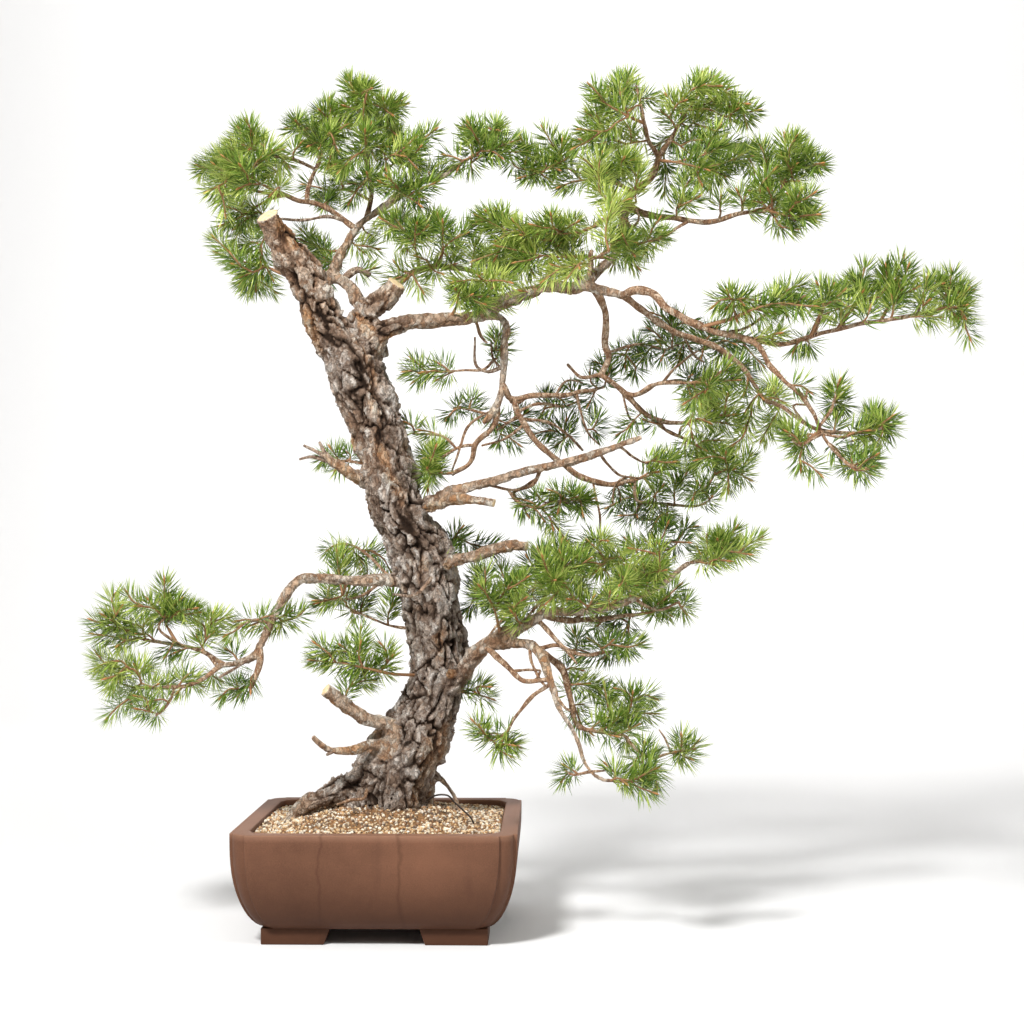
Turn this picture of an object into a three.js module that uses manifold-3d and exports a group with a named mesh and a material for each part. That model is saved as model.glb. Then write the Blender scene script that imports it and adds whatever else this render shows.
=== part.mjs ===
// A scots pine bonsai in a square stoneware pot.
// The tree's wood is one grown piece: root flare, roots, trunk, boughs, twigs and sawn stubs. Each leafy twig
// end is a piece of its own, a slim forked stem with its needles drawn out of the stem's faces. The pot holds
// coarse grit, mounded to the trunk, over two drain screens, and a tie wire runs through the grit.
// Millimetres, +Z up, -Y towards the front. The origin is the bottom centre of the whole object's box.
import * as THREE from "three";
import { mergeVertices } from "three/addons/utils/BufferGeometryUtils.js";
import Module from "manifold-3d";

const wasm = await Module();
wasm.setup();

// Pot
const POT_HEIGHT = 156;
const RIM_HALF = 198; // half the pot's width at the rim
const RIM_WIDTH = 24;
const LEAN_IN = 19; // how far the wall leans in on its way down
const LEAN_POWER = 1.8;
const TUCK_IN = 15; // how much further it tucks in at the bottom
const TUCK_POWER = 10;
const WALL = 14;
const FLOOR = 14;
const RIM_DEPTH = 16; // how far down the rim is as thick as at its top
const COVE = 20; // height over which the wall thickens at the floor
const RIM_COVE = 24; // and under the rim
const RIM_COVE_WALL = 2; // how much thicker the wall is where that starts
const CORNER_BAND = 18; // from the end of a panel to the pot's corner
const CORNER_STEP = 5; // how far the corner lies behind the panels
const INNER_CORNER = 26;
const FOOT_HEIGHT = 21;
const FOOT_LEG = 96;
const FOOT_WIDTH = 30;
const FOOT_SET_IN = 6;
const FOOT_SLANT = 8; // how far the end of a leg slants in on its way down
const FOOT_DRAFT = 1 / 3; // how much of that its outer side slants
const FOOT_OVERLAP = 2; // how far a foot runs into the pot
const DRAIN_RADIUS = 19;
const DRAIN_AT = 80; // each drain hole's distance from the pot's centre
const DRAIN_SIDES = 14;
const POT_LEVELS = 8;
const LEVEL_POWER = 1.7; // levels lie closer together where the wall tucks under

// Soil and drain screens
const GAP = 0.4; // left between neighbours that touch
const SOIL_AT_WALL = 146;
const MOUND_HEIGHT = 38;
const MOUND_SPREAD = 85;
const GRAIN = 2.2; // height of the grit's relief
const SOIL_CELLS = 14;
const CELL_SHIFT = 0.3; // how far a point of the surface strays from its grid, as a share of a cell
const SCREEN_HALF = 27;
const SCREEN_THICK = 2;
const SCREEN_CELL = 14;
const SCREEN_BAR = 3;

// Tree
const TRUNK_SIDES = 12;
const TRUNK_STEP = 24;
const BARK_PLATE = 26; // length of a bark plate
const BARK_DEPTH = 5;
const PLATE_STRETCH = 1.5; // a plate's length over its width
const SCATTER_ROUND = 0.6; // how unevenly the plates lie round the wood
const SCATTER_ALONG = 0.8; // and along it
const PLATE_EDGE = 3; // how steeply a plate falls to the fissure beside it
const CELL_ROW = 57; // more than the plates round the widest wood
const BOUGH_BARK = 0.22; // depth of a bough's bark, as a share of its radius
const FLARE = 9; // height of the ridges at the trunk's foot
const FLARE_LENGTH = 150;
const BARK_MARGIN = 6; // room kept round the wood for its bark
const FULL_BARK = 30; // wood with this radius or more needs all of that room
const CORE_RADIUS = 2;
const CORE_SWELL = 0.1; // how much thicker than that a shoot is at its foot
const CORE_TAPER = 0.2; // and how much thinner at its bud
const THICK_LIMB = 8; // limbs with a larger radius than this have bark plates
const THICK_STEP = 34; // between the rings of a thick limb
const THIN_STEP = 44;
// Wood with a larger radius than the first number has the second number of sides.
const LIMB_SIDES = [[18, 8], [9, 6], [4.2, 4], [0, 3]];
const TWIG_RADII = [2.7, 2.2];
const FORKED_RADIUS = 1.3; // where a shoot starts inside another
const FRAME_STEPS = 64;
const RING_TURN = Math.PI / 12; // needles of one ring turn this far one way, those of the next the other way
const NEEDLE = 40;
const NEEDLE_BASE = 2.2; // half the width of a needle where it leaves its stem
const NEEDLE_LEAN = 62; // degrees between a needle and its stem, at the stem's foot
const LEAN_FORWARD = 24; // how many degrees less it is at the bud
const NEEDLE_ROOM = 0.6; // kept between a needle and what is near it
const NEEDLE_TRIES = 12;
const OWN_FOOT = 0.3; // share of a needle that others of its own shoot may touch
const NEEDLE_FOOT = 0.1; // share of a needle that is part of its stem
const NEEDLE_TIP = 0.2;
const SHORTER = 0.12; // how much shorter than NEEDLE the shortest one is
const FIRST_SWING = 4; // degrees that a needle may swing from its way, at the first try
const NEXT_SWING = 3; // and how many more at each next try
const TURN_SWING = 1.5; // how much more it may turn about its stem
const WHORL_STEP = 3.6; // between the two rings of needles in a whorl
const WHORL_PITCH = 25;
const WHORLS = 2;
const LONG_BARE = 34; // a bare stretch longer than this gets a ring halfway
const BUD = 9;
const FORK = 9; // a spray's stem forks this far from its foot
const FORK_ROOM = 4; // the least room between a whorl and the fork
const SHOOT_BEND = 0.12; // how far a shoot bows, as a share of its length
const SHOOT_ROOM = 1; // kept between a shoot and what is near it
const SHOOT_NUDGE = 0.8; // how much further each try moves a shoot
const SHOOT_TRIES = 60;
const WIRE_RADIUS = 1.6;
const WIRE = [
  [80, 132, -70], [86, 172, -68], [94, 188, -62], [106, 181, -56], [120, 162, -50], [130, 128, -48],
];

// Routes are drawn as the tree is seen from its front: x to the right of the pot's centre and z above the
// surface, both on the upright plane through that centre, then y, how far behind that plane the point lies.
// A point behind the plane or before it is seen in the same place, so it spreads from the viewer's eye.
// Depths are drawn for wood near the trunk, and they double on the way out to the ends of the boughs.
const EYE_DISTANCE = 2724;
const EYE_RIGHT = 245;
const EYE_HEIGHT = 544;
const TRUNK_MIDDLE = 20;
const DEEP_AT = 400; // this far to either side of the trunk, depths have doubled

function deeper([x, , y]) {
  return y * Math.min(1, Math.abs(x - TRUNK_MIDDLE) / DEEP_AT);
}

function at(point, extra = deeper(point)) {
  const depth = point[2] + extra;
  const spread = 1 + depth / EYE_DISTANCE;
  const right = EYE_RIGHT + (point[0] - EYE_RIGHT) * spread;
  return new THREE.Vector3(right, depth, EYE_HEIGHT + (point[1] - EYE_HEIGHT) * spread);
}

// The trunk runs up into the left leader. Each point has the wood's radius there as its fourth number.
const TRUNK = [
  [-14, 96, 0, 50], [-6, 140, -2, 58], [4, 184, -4, 66], [19, 226, -4, 61], [46, 277, -2, 54],
  [64, 312, 0, 46], [73, 345, 4, 44], [76, 395, 8, 43], [72, 444, 8, 44], [63, 496, 4, 48],
  [54, 529, 0, 46], [42, 563, -4, 44], [22, 597, -6, 42], [12, 630, -6, 42], [6, 655, -4, 43],
  [0, 683, 0, 41], [-10, 717, 2, 42], [-21, 749, 2, 43], [-35, 783, 0, 45], [-48, 818, -2, 46],
  [-74, 852, -6, 37], [-92, 882, -10, 30], [-106, 917, -14, 30], [-120, 951, -20, 28],
  [-144, 985, -28, 25], [-162, 1016, -36, 20], [-174, 1038, -44, 16],
];

// Every other limb, as its radii and its route, from inside the wood that it grows out of. The radii are
// spread evenly along the route.
const LIMBS = {
  root_left: [[34, 24, 16, 11, 8, 6],
    [-6, 206, -14], [-48, 200, -24], [-88, 183, -28], [-120, 168, -28], [-140, 146, -28], [-146, 122, -28]],
  root_right: [[12, 7, 5, 4, 3.6, 3.4],
    [56, 226, 4], [76, 215, 8], [91, 200, 8], [103, 182, 8], [110, 160, 8], [112, 136, 8]],

  stub_low_left: [[14, 11, 10, 10, 10, 9.5],
    [30, 282, -20], [-6, 291, -44], [-26, 297, -52], [-53, 314, -60], [-73, 330, -66], [-87, 340, -70]],
  snag_low_left: [[10, 7.5, 7, 6.5, 6, 4.6],
    [10, 262, -30], [-19, 260, -52], [-40, 253, -60], [-62, 250, -66], [-84, 253, -70], [-106, 271, -76]],
  snag_fork: [[3.2, 1.8], [-72, 252, -68], [-85, 244, -74]],
  broken_left: [[13, 9.5, 8.5, 7.5, 6],
    [-16, 638, -8], [-43, 652, -26], [-63, 666, -34], [-82, 677, -38], [-92, 688, -40]],
  prong_up: [[3.6, 1.8], [-84, 678, -38], [-97, 703, -44]],
  prong_mid: [[3.6, 1.6], [-84, 680, -38], [-120, 698, -38]],
  prong_low: [[3.6, 1.5], [-78, 674, -37], [-106, 680, -32], [-126, 677, -28]],
  stub_mid_right: [[14, 11, 10, 9, 8.5, 7.5],
    [80, 522, -20], [105, 529, -38], [132, 535, -46], [165, 546, -54], [196, 551, -60], [209, 549, -62]],
  dead_across: [[3.4, 2.6, 1.8], [68, 479, -38], [44, 478, -50], [12, 479, -56]],

  leader_right: [[34, 30, 21, 18, 17, 15],
    [-36, 800, 0], [-26, 846, 2], [-36, 878, 6], [-20, 896, 4], [0, 913, 0], [17, 937, -8]],
  leader_knob: [[12, 11, 10, 8], [-35, 900, 4], [-48, 924, 14], [-60, 937, 22], [-75, 945, 28]],
  leader_snag: [[6, 5, 4], [-60, 948, 26], [-40, 955, 32], [-22, 948, 36]],

  bough_left_crown: [[9, 8.5, 10, 7, 6.5, 6.2, 6, 5.5, 5, 4, 3],
    [-98, 912, 6], [-86, 936, 20], [-73, 962, 28], [-60, 988, 32], [-41, 1020, 34], [-10, 1043, 34],
    [22, 1067, 32], [54, 1086, 28], [83, 1092, 24], [104, 1108, 20], [128, 1123, 16]],
  bough_left_pad: [[5, 4.4, 4, 3.4, 3],
    [-45, 1018, 34], [-66, 1034, 30], [-98, 1054, 24], [-132, 1060, 14], [-157, 1071, 6]],
  riser: [[4, 3.4, 3], [-114, 1056, 20], [-114, 1080, 20], [-97, 1119, 24]],
  riser_left: [[2.8, 2.4, 2.2], [-105, 1106, 22], [-131, 1119, 12], [-180, 1129, -2]],
  dead_crown: [[2.8, 2.4, 1.8], [-60, 1030, 31], [-84, 1035, 20], [-117, 1030, 14], [-157, 1032, 6]],
  bough_top: [[4.6, 3.6, 3, 2.4], [-27, 1034, 34], [-21, 1060, 42], [-26, 1122, 46], [-27, 1162, 42]],

  bough_middle: [[8, 6, 5, 4.4, 4, 3],
    [0, 908, 0], [14, 932, 20], [34, 949, 34], [62, 960, 36], [100, 960, 28], [136, 951, 18]],

  bough_b: [[27, 20, 15, 13, 12, 11, 10, 9, 8],
    [-28, 836, 0], [-4, 864, -10], [22, 875, -14], [51, 880, -16], [81, 883, -16], [110, 884, -14],
    [132, 886, -12], [151, 889, -10], [166, 888, -8]],
  b_down: [[8, 7, 6.4, 6, 6, 5.6, 4.5],
    [160, 889, -8], [177, 876, -8], [175, 840, -6], [174, 811, -4], [171, 775, -4], [161, 748, -2],
    [143, 728, -2]],
  b_low: [[5, 4.4, 4, 3.6, 3.2, 2.8],
    [163, 754, -2], [160, 728, 4], [133, 697, 10], [129, 680, 12], [120, 667, 12], [98, 655, 10]],
  twig_hook: [[3, 2.4, 1.8], [130, 876, -12], [140, 860, -20], [150, 848, -26]],
  dead_upright: [[3.4, 2.8, 2.4, 1.7], [174, 812, -4], [150, 806, 4], [134, 814, 6], [132, 857, 0]],

  bough_c: [[11, 11, 11, 10.5, 10, 9],
    [136, 886, -12], [152, 897, -16], [198, 917, -24], [243, 931, -26], [272, 927, -25], [300, 940, -20]],
  c_up: [[9, 8.5, 8, 7.5, 7],
    [296, 936, -21], [315, 957, -10], [336, 976, 4], [347, 1010, 18], [356, 1050, 24]],
  c_stub: [[5, 3.5, 2.8], [300, 938, -20], [302, 963, -26], [304, 984, -30]],
  bough_d: [[7, 6.6, 6, 5.4, 4.6],
    [353, 1040, 22], [362, 1068, 26], [388, 1087, 24], [396, 1104, 22], [403, 1126, 18]],
  d_right: [[4.4, 3.6, 3], [402, 1122, 18], [419, 1147, 28], [438, 1180, 36]],
  d_left: [[4, 3.4, 2.8, 2.2, 1.7],
    [401, 1119, 18], [389, 1142, 8], [379, 1174, -5], [376, 1200, -10], [369, 1227, -14]],
  d_low: [[6, 5, 4.4, 3.8, 3.2, 2.6],
    [358, 1048, 24], [380, 1038, 20], [420, 1032, 14], [471, 1024, 4], [518, 1036, -2], [568, 1042, -8]],
  d_hook: [[5, 4, 3.4], [355, 1047, 23], [330, 1034, 8], [308, 1019, -4]],

  bough_e: [[9, 7.5, 6.4, 6], [290, 934, -22], [308, 929, -28], [332, 922, -36], [353, 916, -40]],
  bough_f: [[6, 6.4, 6, 5.4, 5, 4.2, 3.8, 3.4, 3, 2.8, 2.4],
    [347, 918, -39], [372, 925, -46], [397, 916, -52], [418, 897, -56], [465, 871, -62], [523, 856, -66],
    [581, 846, -70], [641, 862, -68], [700, 875, -62], [758, 884, -56], [815, 897, -48]],
  f_down: [[4.6, 4, 3.8, 3.2, 3, 2.8, 2.4, 2.2],
    [520, 856, -66], [545, 843, -74], [566, 812, -84], [583, 793, -90], [608, 772, -92], [627, 745, -92],
    [640, 712, -90], [676, 669, -98]],
  bough_g: [[5.4, 5, 4.6, 4.2, 3.8, 3.6, 3, 2.8, 2.4],
    [350, 916, -40], [388, 888, -24], [432, 861, -12], [490, 838, 0], [524, 811, 6], [553, 768, 6],
    [582, 753, -34], [636, 719, -70], [684, 714, -78]],
  bough_h: [[6, 5.2, 5, 5, 4.4],
    [303, 936, -21], [322, 896, -10], [324, 844, 2], [327, 826, 5], [316, 797, 10]],
  h_right: [[4.4, 4, 3.6, 3.2, 2.8, 2.4],
    [317, 800, 10], [350, 775, 14], [388, 739, 22], [425, 730, 26], [452, 733, 30]],
  h_middle: [[3.6, 3.2, 2.6], [350, 775, 14], [368, 771, 6], [400, 788, -6], [452, 788, -14]],
  h_low: [[2.8, 2.4, 2.2], [386, 741, 22], [409, 722, 34], [444, 704, 46]],
  h_left: [[3, 2.6, 2.2], [318, 801, 10], [288, 797, 30], [268, 816, 42]],
  bough_i: [[4.2, 4, 3.6, 3.4, 3],
    [171, 782, -4], [186, 766, 4], [212, 770, 12], [256, 771, 20], [310, 779, 34]],
  bough_j: [[24, 16, 13, 11, 9, 7.5, 6.8, 6, 5.4, 4.6],
    [34, 592, -8], [58, 608, -26], [86, 621, -36], [113, 633, -42], [154, 644, -46], [198, 657, -48],
    [241, 667, -48], [285, 677, -46], [329, 692, -42], [376, 709, -36]],
  j_stub: [[11, 9, 7.6, 6.6], [80, 615, -36], [110, 619, -54], [134, 617, -60], [161, 613, -64]],
  bough_j_two: [[5, 4.8, 4.6, 4.4, 4.2, 3.6],
    [190, 764, 5], [199, 737, 4], [228, 698, 8], [274, 660, 16], [318, 640, 20], [366, 646, 26]],
  j_under: [[3, 2.6, 2.4, 2.2], [230, 658, -46], [218, 640, -40], [188, 628, -30], [206, 606, -20]],

  bough_r: [[24, 17, 13, 11, 8, 6.6, 6, 5.2, 4.4, 3.8, 3],
    [84, 338, -10], [111, 361, -34], [140, 397, -50], [199, 431, -62], [240, 452, -64], [270, 453, -64],
    [300, 455, -62], [344, 465, -56], [400, 489, -42], [444, 524, -28], [472, 529, -20]],
  r_side: [[5, 4, 3.4, 2.6], [232, 448, -64], [263, 441, -50], [318, 444, -34], [378, 451, -18]],
  r_low: [[3.6, 3, 2.4], [222, 442, -64], [250, 414, -74], [276, 386, -78]],
  r_two: [[9, 8.5, 7.5, 5.6, 4.4, 3.6, 3.2, 2.8, 2.4],
    [148, 403, -54], [183, 407, -66], [222, 401, -79], [243, 351, -88], [256, 313, -92], [278, 276, -96],
    [297, 226, -96], [316, 210, -94], [340, 206, -90]],
  r_three: [[6, 5.4, 4.8, 4.2, 3.6, 2.8],
    [203, 407, -72], [241, 387, -62], [264, 362, -52], [271, 330, -48], [281, 289, -50], [300, 280, -54]],
  r_loop: [[4.6, 4, 3.6, 3.2], [148, 402, -56], [180, 373, -82], [204, 353, -92], [240, 354, -88]],
  r_hang: [[3, 2.8, 2.6, 2.4], [243, 346, -88], [217, 330, -96], [190, 298, -104], [176, 272, -108]],
  r_up: [[3, 2.6, 2.4], [226, 399, -79], [253, 405, -70], [290, 391, -58], [322, 395, -48]],

  bough_l: [[13, 9, 8, 8, 8, 7.5, 7, 6.6, 6, 4.4],
    [34, 497, -8], [6, 500, -24], [-43, 499, -40], [-104, 503, -54], [-126, 500, -56], [-148, 473, -59],
    [-175, 420, -60], [-192, 389, -60], [-214, 379, -58], [-246, 374, -56]],
  l_stub: [[6, 5, 4, 3], [-187, 396, -60], [-186, 372, -64], [-196, 342, -70]],
  l_bare: [[2.6, 2.2, 1.8], [-190, 391, -61], [-214, 375, -72], [-243, 357, -80]],
  l_left: [[4, 3, 2.6, 2.2], [-238, 375, -56], [-270, 396, -48], [-310, 406, -40], [-352, 412, -34]],
  l_low: [[4, 3, 2.6, 2.2], [-240, 374, -56], [-275, 350, -60], [-322, 342, -54], [-358, 342, -44]],
};

// Every leafy spray: first the twig that carries it, out of the wood to the spray's foot, then its shoots.
// A shoot runs from the fork at the foot, or from a share of the way along the spray's first shoot where it
// starts with a number, to its bud.
const SPRAYS = {
  left_pad_1: [[[-157, 1071, 6], [-176, 1080, -6]],
    [[-204, 1098, -18], [-236, 1122, -30]], [0.35, [-186, 1122, -40]], [[-215, 1078, -50]]],
  left_pad_2: [[[-150, 1068, 9], [-176, 1070, 24], [-194, 1074, 32]],
    [[-234, 1094, 36], [-274, 1110, 34]], [[-236, 1060, 62]], [0.4, [-240, 1118, 66]]],
  left_pad_3: [[[-146, 1066, 10], [-168, 1062, 26], [-184, 1054, 30]],
    [[-212, 1036, 24], [-240, 1024, 8]], [[-208, 1024, 70]]],
  left_pad_4: [[[-176, 1128, -1], [-184, 1131, -4]],
    [[-199, 1154, -18]], [[-226, 1148, 14]]],
  left_pad_5: [[[-126, 944, -14], [-150, 950, 2], [-168, 958, 8]],
    [[-206, 968, 14], [-246, 981, 20]], [[-212, 938, 34]]],

  crown_1: [[[-62, 984, 32], [-76, 984, 52]],
    [[-122, 1000, 74]], [[-98, 952, 84]]],
  crown_2: [[[-98, 1116, 24], [-93, 1130, 22]],
    [[-128, 1172, 16]], [[-88, 1176, 40], [-84, 1204, 46]], [[-112, 1140, -26]]],
  crown_3: [[[-27, 1156, 43], [-27, 1166, 41]],
    [[-38, 1232, 36]], [[16, 1204, 18]], [[-58, 1198, 6]]],
  crown_4: [[[-25, 1108, 46], [-30, 1118, 24], [-30, 1128, 8]],
    [[-30, 1160, -44]], [[-66, 1104, -34]]],
  crown_5: [[[-23, 1084, 44], [-4, 1102, 38], [8, 1110, 32]],
    [[52, 1152, 26]], [[48, 1106, -6]], [[12, 1164, 66]]],
  crown_6: [[[14, 1062, 32], [22, 1066, 12]],
    [[50, 1052, -24]], [[4, 1092, -40]]],
  crown_7: [[[-22, 1058, 42], [-44, 1070, 62], [-56, 1074, 72]],
    [[-98, 1062, 96]], [[-66, 1108, 118]]],
  crown_8: [[[124, 1121, 17], [132, 1126, 15]],
    [[124, 1164, 0]], [[168, 1166, 30]], [[170, 1122, -14]]],

  middle_1: [[[50, 957, 36], [48, 972, 22], [46, 980, 14]],
    [[12, 1034, -14]], [[46, 1022, -44]]],
  middle_2: [[[76, 960, 34], [82, 974, 18], [84, 982, 8]],
    [[78, 1032, -18]], [[116, 1008, -28]]],
  middle_3: [[[130, 953, 20], [140, 950, 17]],
    [[178, 952, -2]], [[142, 982, 66]]],
  middle_4: [[[98, 884, -16], [104, 900, -32]],
    [[104, 926, -82]], [[146, 916, -74]]],

  brush_1: [[[312, 1020, -4], [290, 1012, -14], [278, 1010, -18]],
    [[224, 1008, -26], [180, 1014, -30], [138, 1034, -32]], [0.15, [244, 1034, -60]]],
  brush_2: [[[334, 974, 3], [296, 974, -8], [262, 974, -20]],
    [[220, 978, -32], [168, 990, -40]], [0.5, [180, 968, 6]]],
  brush_3: [[[366, 1072, 26], [338, 1082, 23], [318, 1087, 20]],
    [[272, 1104, 16], [228, 1108, 14], [202, 1146, 12]], [0.4, [260, 1142, -4]], [[258, 1078, -14]]],
  upper_right_1: [[[345, 1080, 24], [338, 1088, 0]],
    [[326, 1098, -66]], [[362, 1116, -52]]],
  upper_right_2: [[[380, 1172, -5], [364, 1178, -16]],
    [[326, 1160, -34], [290, 1162, -42]], [[312, 1208, -30]], [[344, 1238, 4]]],
  upper_right_3: [[[434, 1172, 35], [441, 1184, 37]],
    [[490, 1198, 46]], [[478, 1234, 22]], [[500, 1180, 10], [516, 1190, -20]]],
  upper_right_4: [[[400, 1114, 20], [420, 1114, 10]],
    [[462, 1104, 30], [510, 1116, 50], [540, 1134, 54]], [[472, 1102, -50]], [[496, 1136, -14]]],
  upper_right_5: [[[560, 1041, -7], [580, 1068, -4], [586, 1084, -2]],
    [[608, 1142, 0]], [[640, 1108, -24]]],
  upper_right_6: [[[562, 1041, -8], [580, 1036, -18]],
    [[622, 1032, -34]], [[608, 1066, -56]]],
  upper_right_7: [[[345, 994, 12], [352, 990, -10]],
    [[408, 1004, -46]], [[366, 976, -78]]],

  far_right_1: [[[806, 895, -49], [818, 898, -48]],
    [[850, 921, -46]], [[848, 884, -80]], [[800, 942, -30]]],
  far_right_2: [[[726, 879, -59], [733, 894, -52]],
    [[734, 956, -44]], [[776, 926, -70]]],
  far_right_3: [[[664, 867, -66], [678, 888, -60], [688, 900, -56]],
    [[742, 914, -52]], [[690, 938, -24]]],
  far_right_4: [[[622, 857, -69], [634, 882, -78]],
    [[654, 926, -96]]],
  far_right_5: [[[465, 872, -62], [500, 880, -72], [532, 893, -80]],
    [[566, 904, -86], [602, 906, -88]]],
  down_right_1: [[[680, 714, -78], [688, 715, -79]],
    [[732, 724, -86]], [[716, 748, -52]]],
  down_right_2: [[[672, 671, -97], [680, 667, -99]],
    [[710, 664, -110]]],
  down_right_3: [[[638, 716, -90], [618, 704, -98]],
    [[588, 714, -112]], [[608, 666, -112]]],

  mid_right_1: [[[448, 788, -13], [458, 789, -15]],
    [[504, 812, -24]], [[470, 776, -70]]],
  mid_right_2: [[[448, 732, 29], [458, 733, 31]],
    [[520, 724, 40]], [[478, 762, 62]]],
  mid_right_3: [[[440, 706, 45], [450, 700, 48]],
    [[500, 688, 56]], [[452, 668, 84]]],
  mid_right_4: [[[360, 645, 25], [372, 648, 28]],
    [[420, 670, 24]], [[400, 604, 44], [416, 594, 48]]],
  mid_right_5: [[[208, 610, -22], [222, 606, -16]],
    [[262, 614, -10], [300, 618, -6]], [[246, 578, -34]]],
  inner_1: [[[102, 656, 10], [90, 656, 8]],
    [[62, 664, -62]], [[84, 700, 44]]],

  lower_bough_1: [[[468, 529, -21], [478, 532, -20]],
    [[516, 548, -18]], [[490, 564, -60]]],
  lower_bough_2: [[[330, 461, -58], [346, 480, -66]],
    [[392, 514, -60]], [[346, 506, -118]]],
  lower_bough_3: [[[372, 450, -20], [384, 453, -16]],
    [[420, 470, -4]]],
  lower_bough_4: [[[168, 417, -57], [164, 446, -72]],
    [[190, 500, -100]], [[140, 490, -122]]],
  lower_bough_5: [[[224, 444, -63], [236, 478, -72]],
    [[226, 544, -68]], [[288, 540, -78]], [[250, 500, -132]]],
  lower_right_1: [[[334, 206, -91], [344, 206, -90]],
    [[384, 208, -92]], [[392, 248, -70]]],
  lower_right_2: [[[296, 280, -53], [306, 281, -54]],
    [[342, 300, -62]], [[330, 322, -26]]],
  lower_right_3: [[[178, 276, -107], [168, 270, -110]],
    [[142, 282, -112]], [[182, 244, -126]]],

  left_branch_1: [[[-346, 411, -35], [-356, 413, -33]],
    [[-404, 448, -30]], [[-392, 404, -60]]],
  left_branch_2: [[[-306, 405, -41], [-318, 428, -34]],
    [[-320, 476, -26]], [[-280, 458, -70]]],
  left_branch_3: [[[-352, 342, -45], [-362, 342, -42]],
    [[-418, 362, -34]], [[-372, 316, -76]]],
  beside_trunk_1: [[[-58, 500, -43], [-60, 484, -30]],
    [[-98, 470, -22]], [[-70, 540, -12]]],
  beside_trunk_2: [[[70, 360, 4], [8, 363, -46], [-24, 370, -56]],
    [[-62, 378, -60], [-104, 382, -62]], [[-36, 404, -70]]],
};

const COLOURS = {
  bark: 0x7d6a5c,
  needles: 0x4e7a30,
  stoneware: 0x6e493b,
  grit: 0xbf9c68,
  mesh: 0x1f2120,
  wire: 0x3a3a38,
};

function finish(colour, roughness) {
  return new THREE.MeshStandardMaterial({ color: colour, roughness, metalness: 0 });
}

// A number from 0 to 1 that always comes out the same for the same seed.
function scatter(seed) {
  const wave = Math.sin(seed * 127.1 + 311.7) * 43758.5453;
  return wave - Math.floor(wave);
}

// An evenly spread number from -1 to 1, a new one each time, in the same order every run.
let drawn = 0;
function draw() {
  drawn += 1;
  return 2 * scatter(drawn) - 1;
}

function solid(vertices, faces) {
  const mesh = new wasm.Mesh({
    numProp: 3,
    vertProperties: new Float32Array(vertices),
    triVerts: new Uint32Array(faces),
  });
  return new wasm.Manifold(mesh);
}

function solidFrom(geometry) {
  geometry.deleteAttribute("normal");
  geometry.deleteAttribute("uv");
  const merged = mergeVertices(geometry, 1e-4);
  return solid(merged.attributes.position.array, merged.index.array);
}

function meshFrom(name, made, material) {
  const data = made.getMesh();
  const geometry = new THREE.BufferGeometry();
  geometry.setAttribute("position", new THREE.BufferAttribute(data.vertProperties, 3));
  geometry.setIndex(new THREE.BufferAttribute(data.triVerts, 1));
  geometry.computeVertexNormals();
  const mesh = new THREE.Mesh(geometry, material);
  mesh.name = name;
  return mesh;
}

// A closed solid through level outlines, from the lowest up. Each runs anticlockwise seen from above.
function loft(rings) {
  const count = rings[0].length;
  const vertices = rings.flat().flatMap((p) => [p.x, p.y, p.z]);
  const faces = [];
  for (let i = 0; i + 1 < rings.length; i++) {
    for (let j = 0; j < count; j++) {
      const a = i * count + j;
      const b = i * count + ((j + 1) % count);
      faces.push(a, b, b + count, a, b + count, a + count);
    }
  }
  const cap = (ring) => THREE.ShapeUtils.triangulateShape(ring, []);
  for (const [a, b, c] of cap(rings[0])) faces.push(a, c, b);
  const top = (rings.length - 1) * count;
  for (const [a, b, c] of cap(rings[rings.length - 1])) faces.push(top + a, top + b, top + c);
  return solid(vertices, faces);
}

function box(width, depth, height, x, y, z) {
  return solidFrom(new THREE.BoxGeometry(width, depth, height).translate(x, y, z));
}

// Pot. Half its width at a height: a wall that leans in and then tucks under.
function wallHalf(z) {
  const down = (POT_HEIGHT - z) / (POT_HEIGHT - FOOT_HEIGHT);
  return RIM_HALF - LEAN_IN * down ** LEAN_POWER - TUCK_IN * down ** TUCK_POWER;
}

// One corner's points are turned to the other three.
function fourCorners(corner, z) {
  const ring = [];
  for (let turn = 0; turn < 4; turn++) {
    for (const [x, y] of corner) {
      const p = new THREE.Vector3(x, y, z);
      ring.push(p.applyAxisAngle(new THREE.Vector3(0, 0, 1), (turn * Math.PI) / 2));
    }
  }
  return ring;
}

// The panels end short of the corner, which is a quarter round set back behind them.
function potOutline(z) {
  const half = wallHalf(z);
  const end = half - CORNER_BAND;
  const radius = CORNER_BAND - CORNER_STEP;
  const corner = [[end, -half]];
  for (const degrees of [-90, -60, -30, 0]) {
    const angle = THREE.MathUtils.degToRad(degrees);
    corner.push([end + radius * Math.cos(angle), -end + radius * Math.sin(angle)]);
  }
  corner.push([half, -end]);
  return fourCorners(corner, z);
}

// The inside is a plain square with its corners cut, held a little larger or smaller for what fits in it.
function insideOutline(z, half) {
  return fourCorners([[half - INNER_CORNER, -half], [half, -half + INNER_CORNER]], z);
}

const FLOOR_TOP = FOOT_HEIGHT + FLOOR;
const COVE_TOP = FLOOR_TOP + COVE;
const RIM_FOOT = POT_HEIGHT - RIM_DEPTH;
const UNDER_RIM = RIM_FOOT - RIM_COVE;
const INSIDE = [
  [FLOOR_TOP, wallHalf(FLOOR_TOP) - 2 * WALL],
  [COVE_TOP, wallHalf(COVE_TOP) - WALL],
  [UNDER_RIM, wallHalf(UNDER_RIM) - WALL - RIM_COVE_WALL],
  [RIM_FOOT, RIM_HALF - RIM_WIDTH],
  [POT_HEIGHT + COVE, RIM_HALF - RIM_WIDTH],
];

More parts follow.
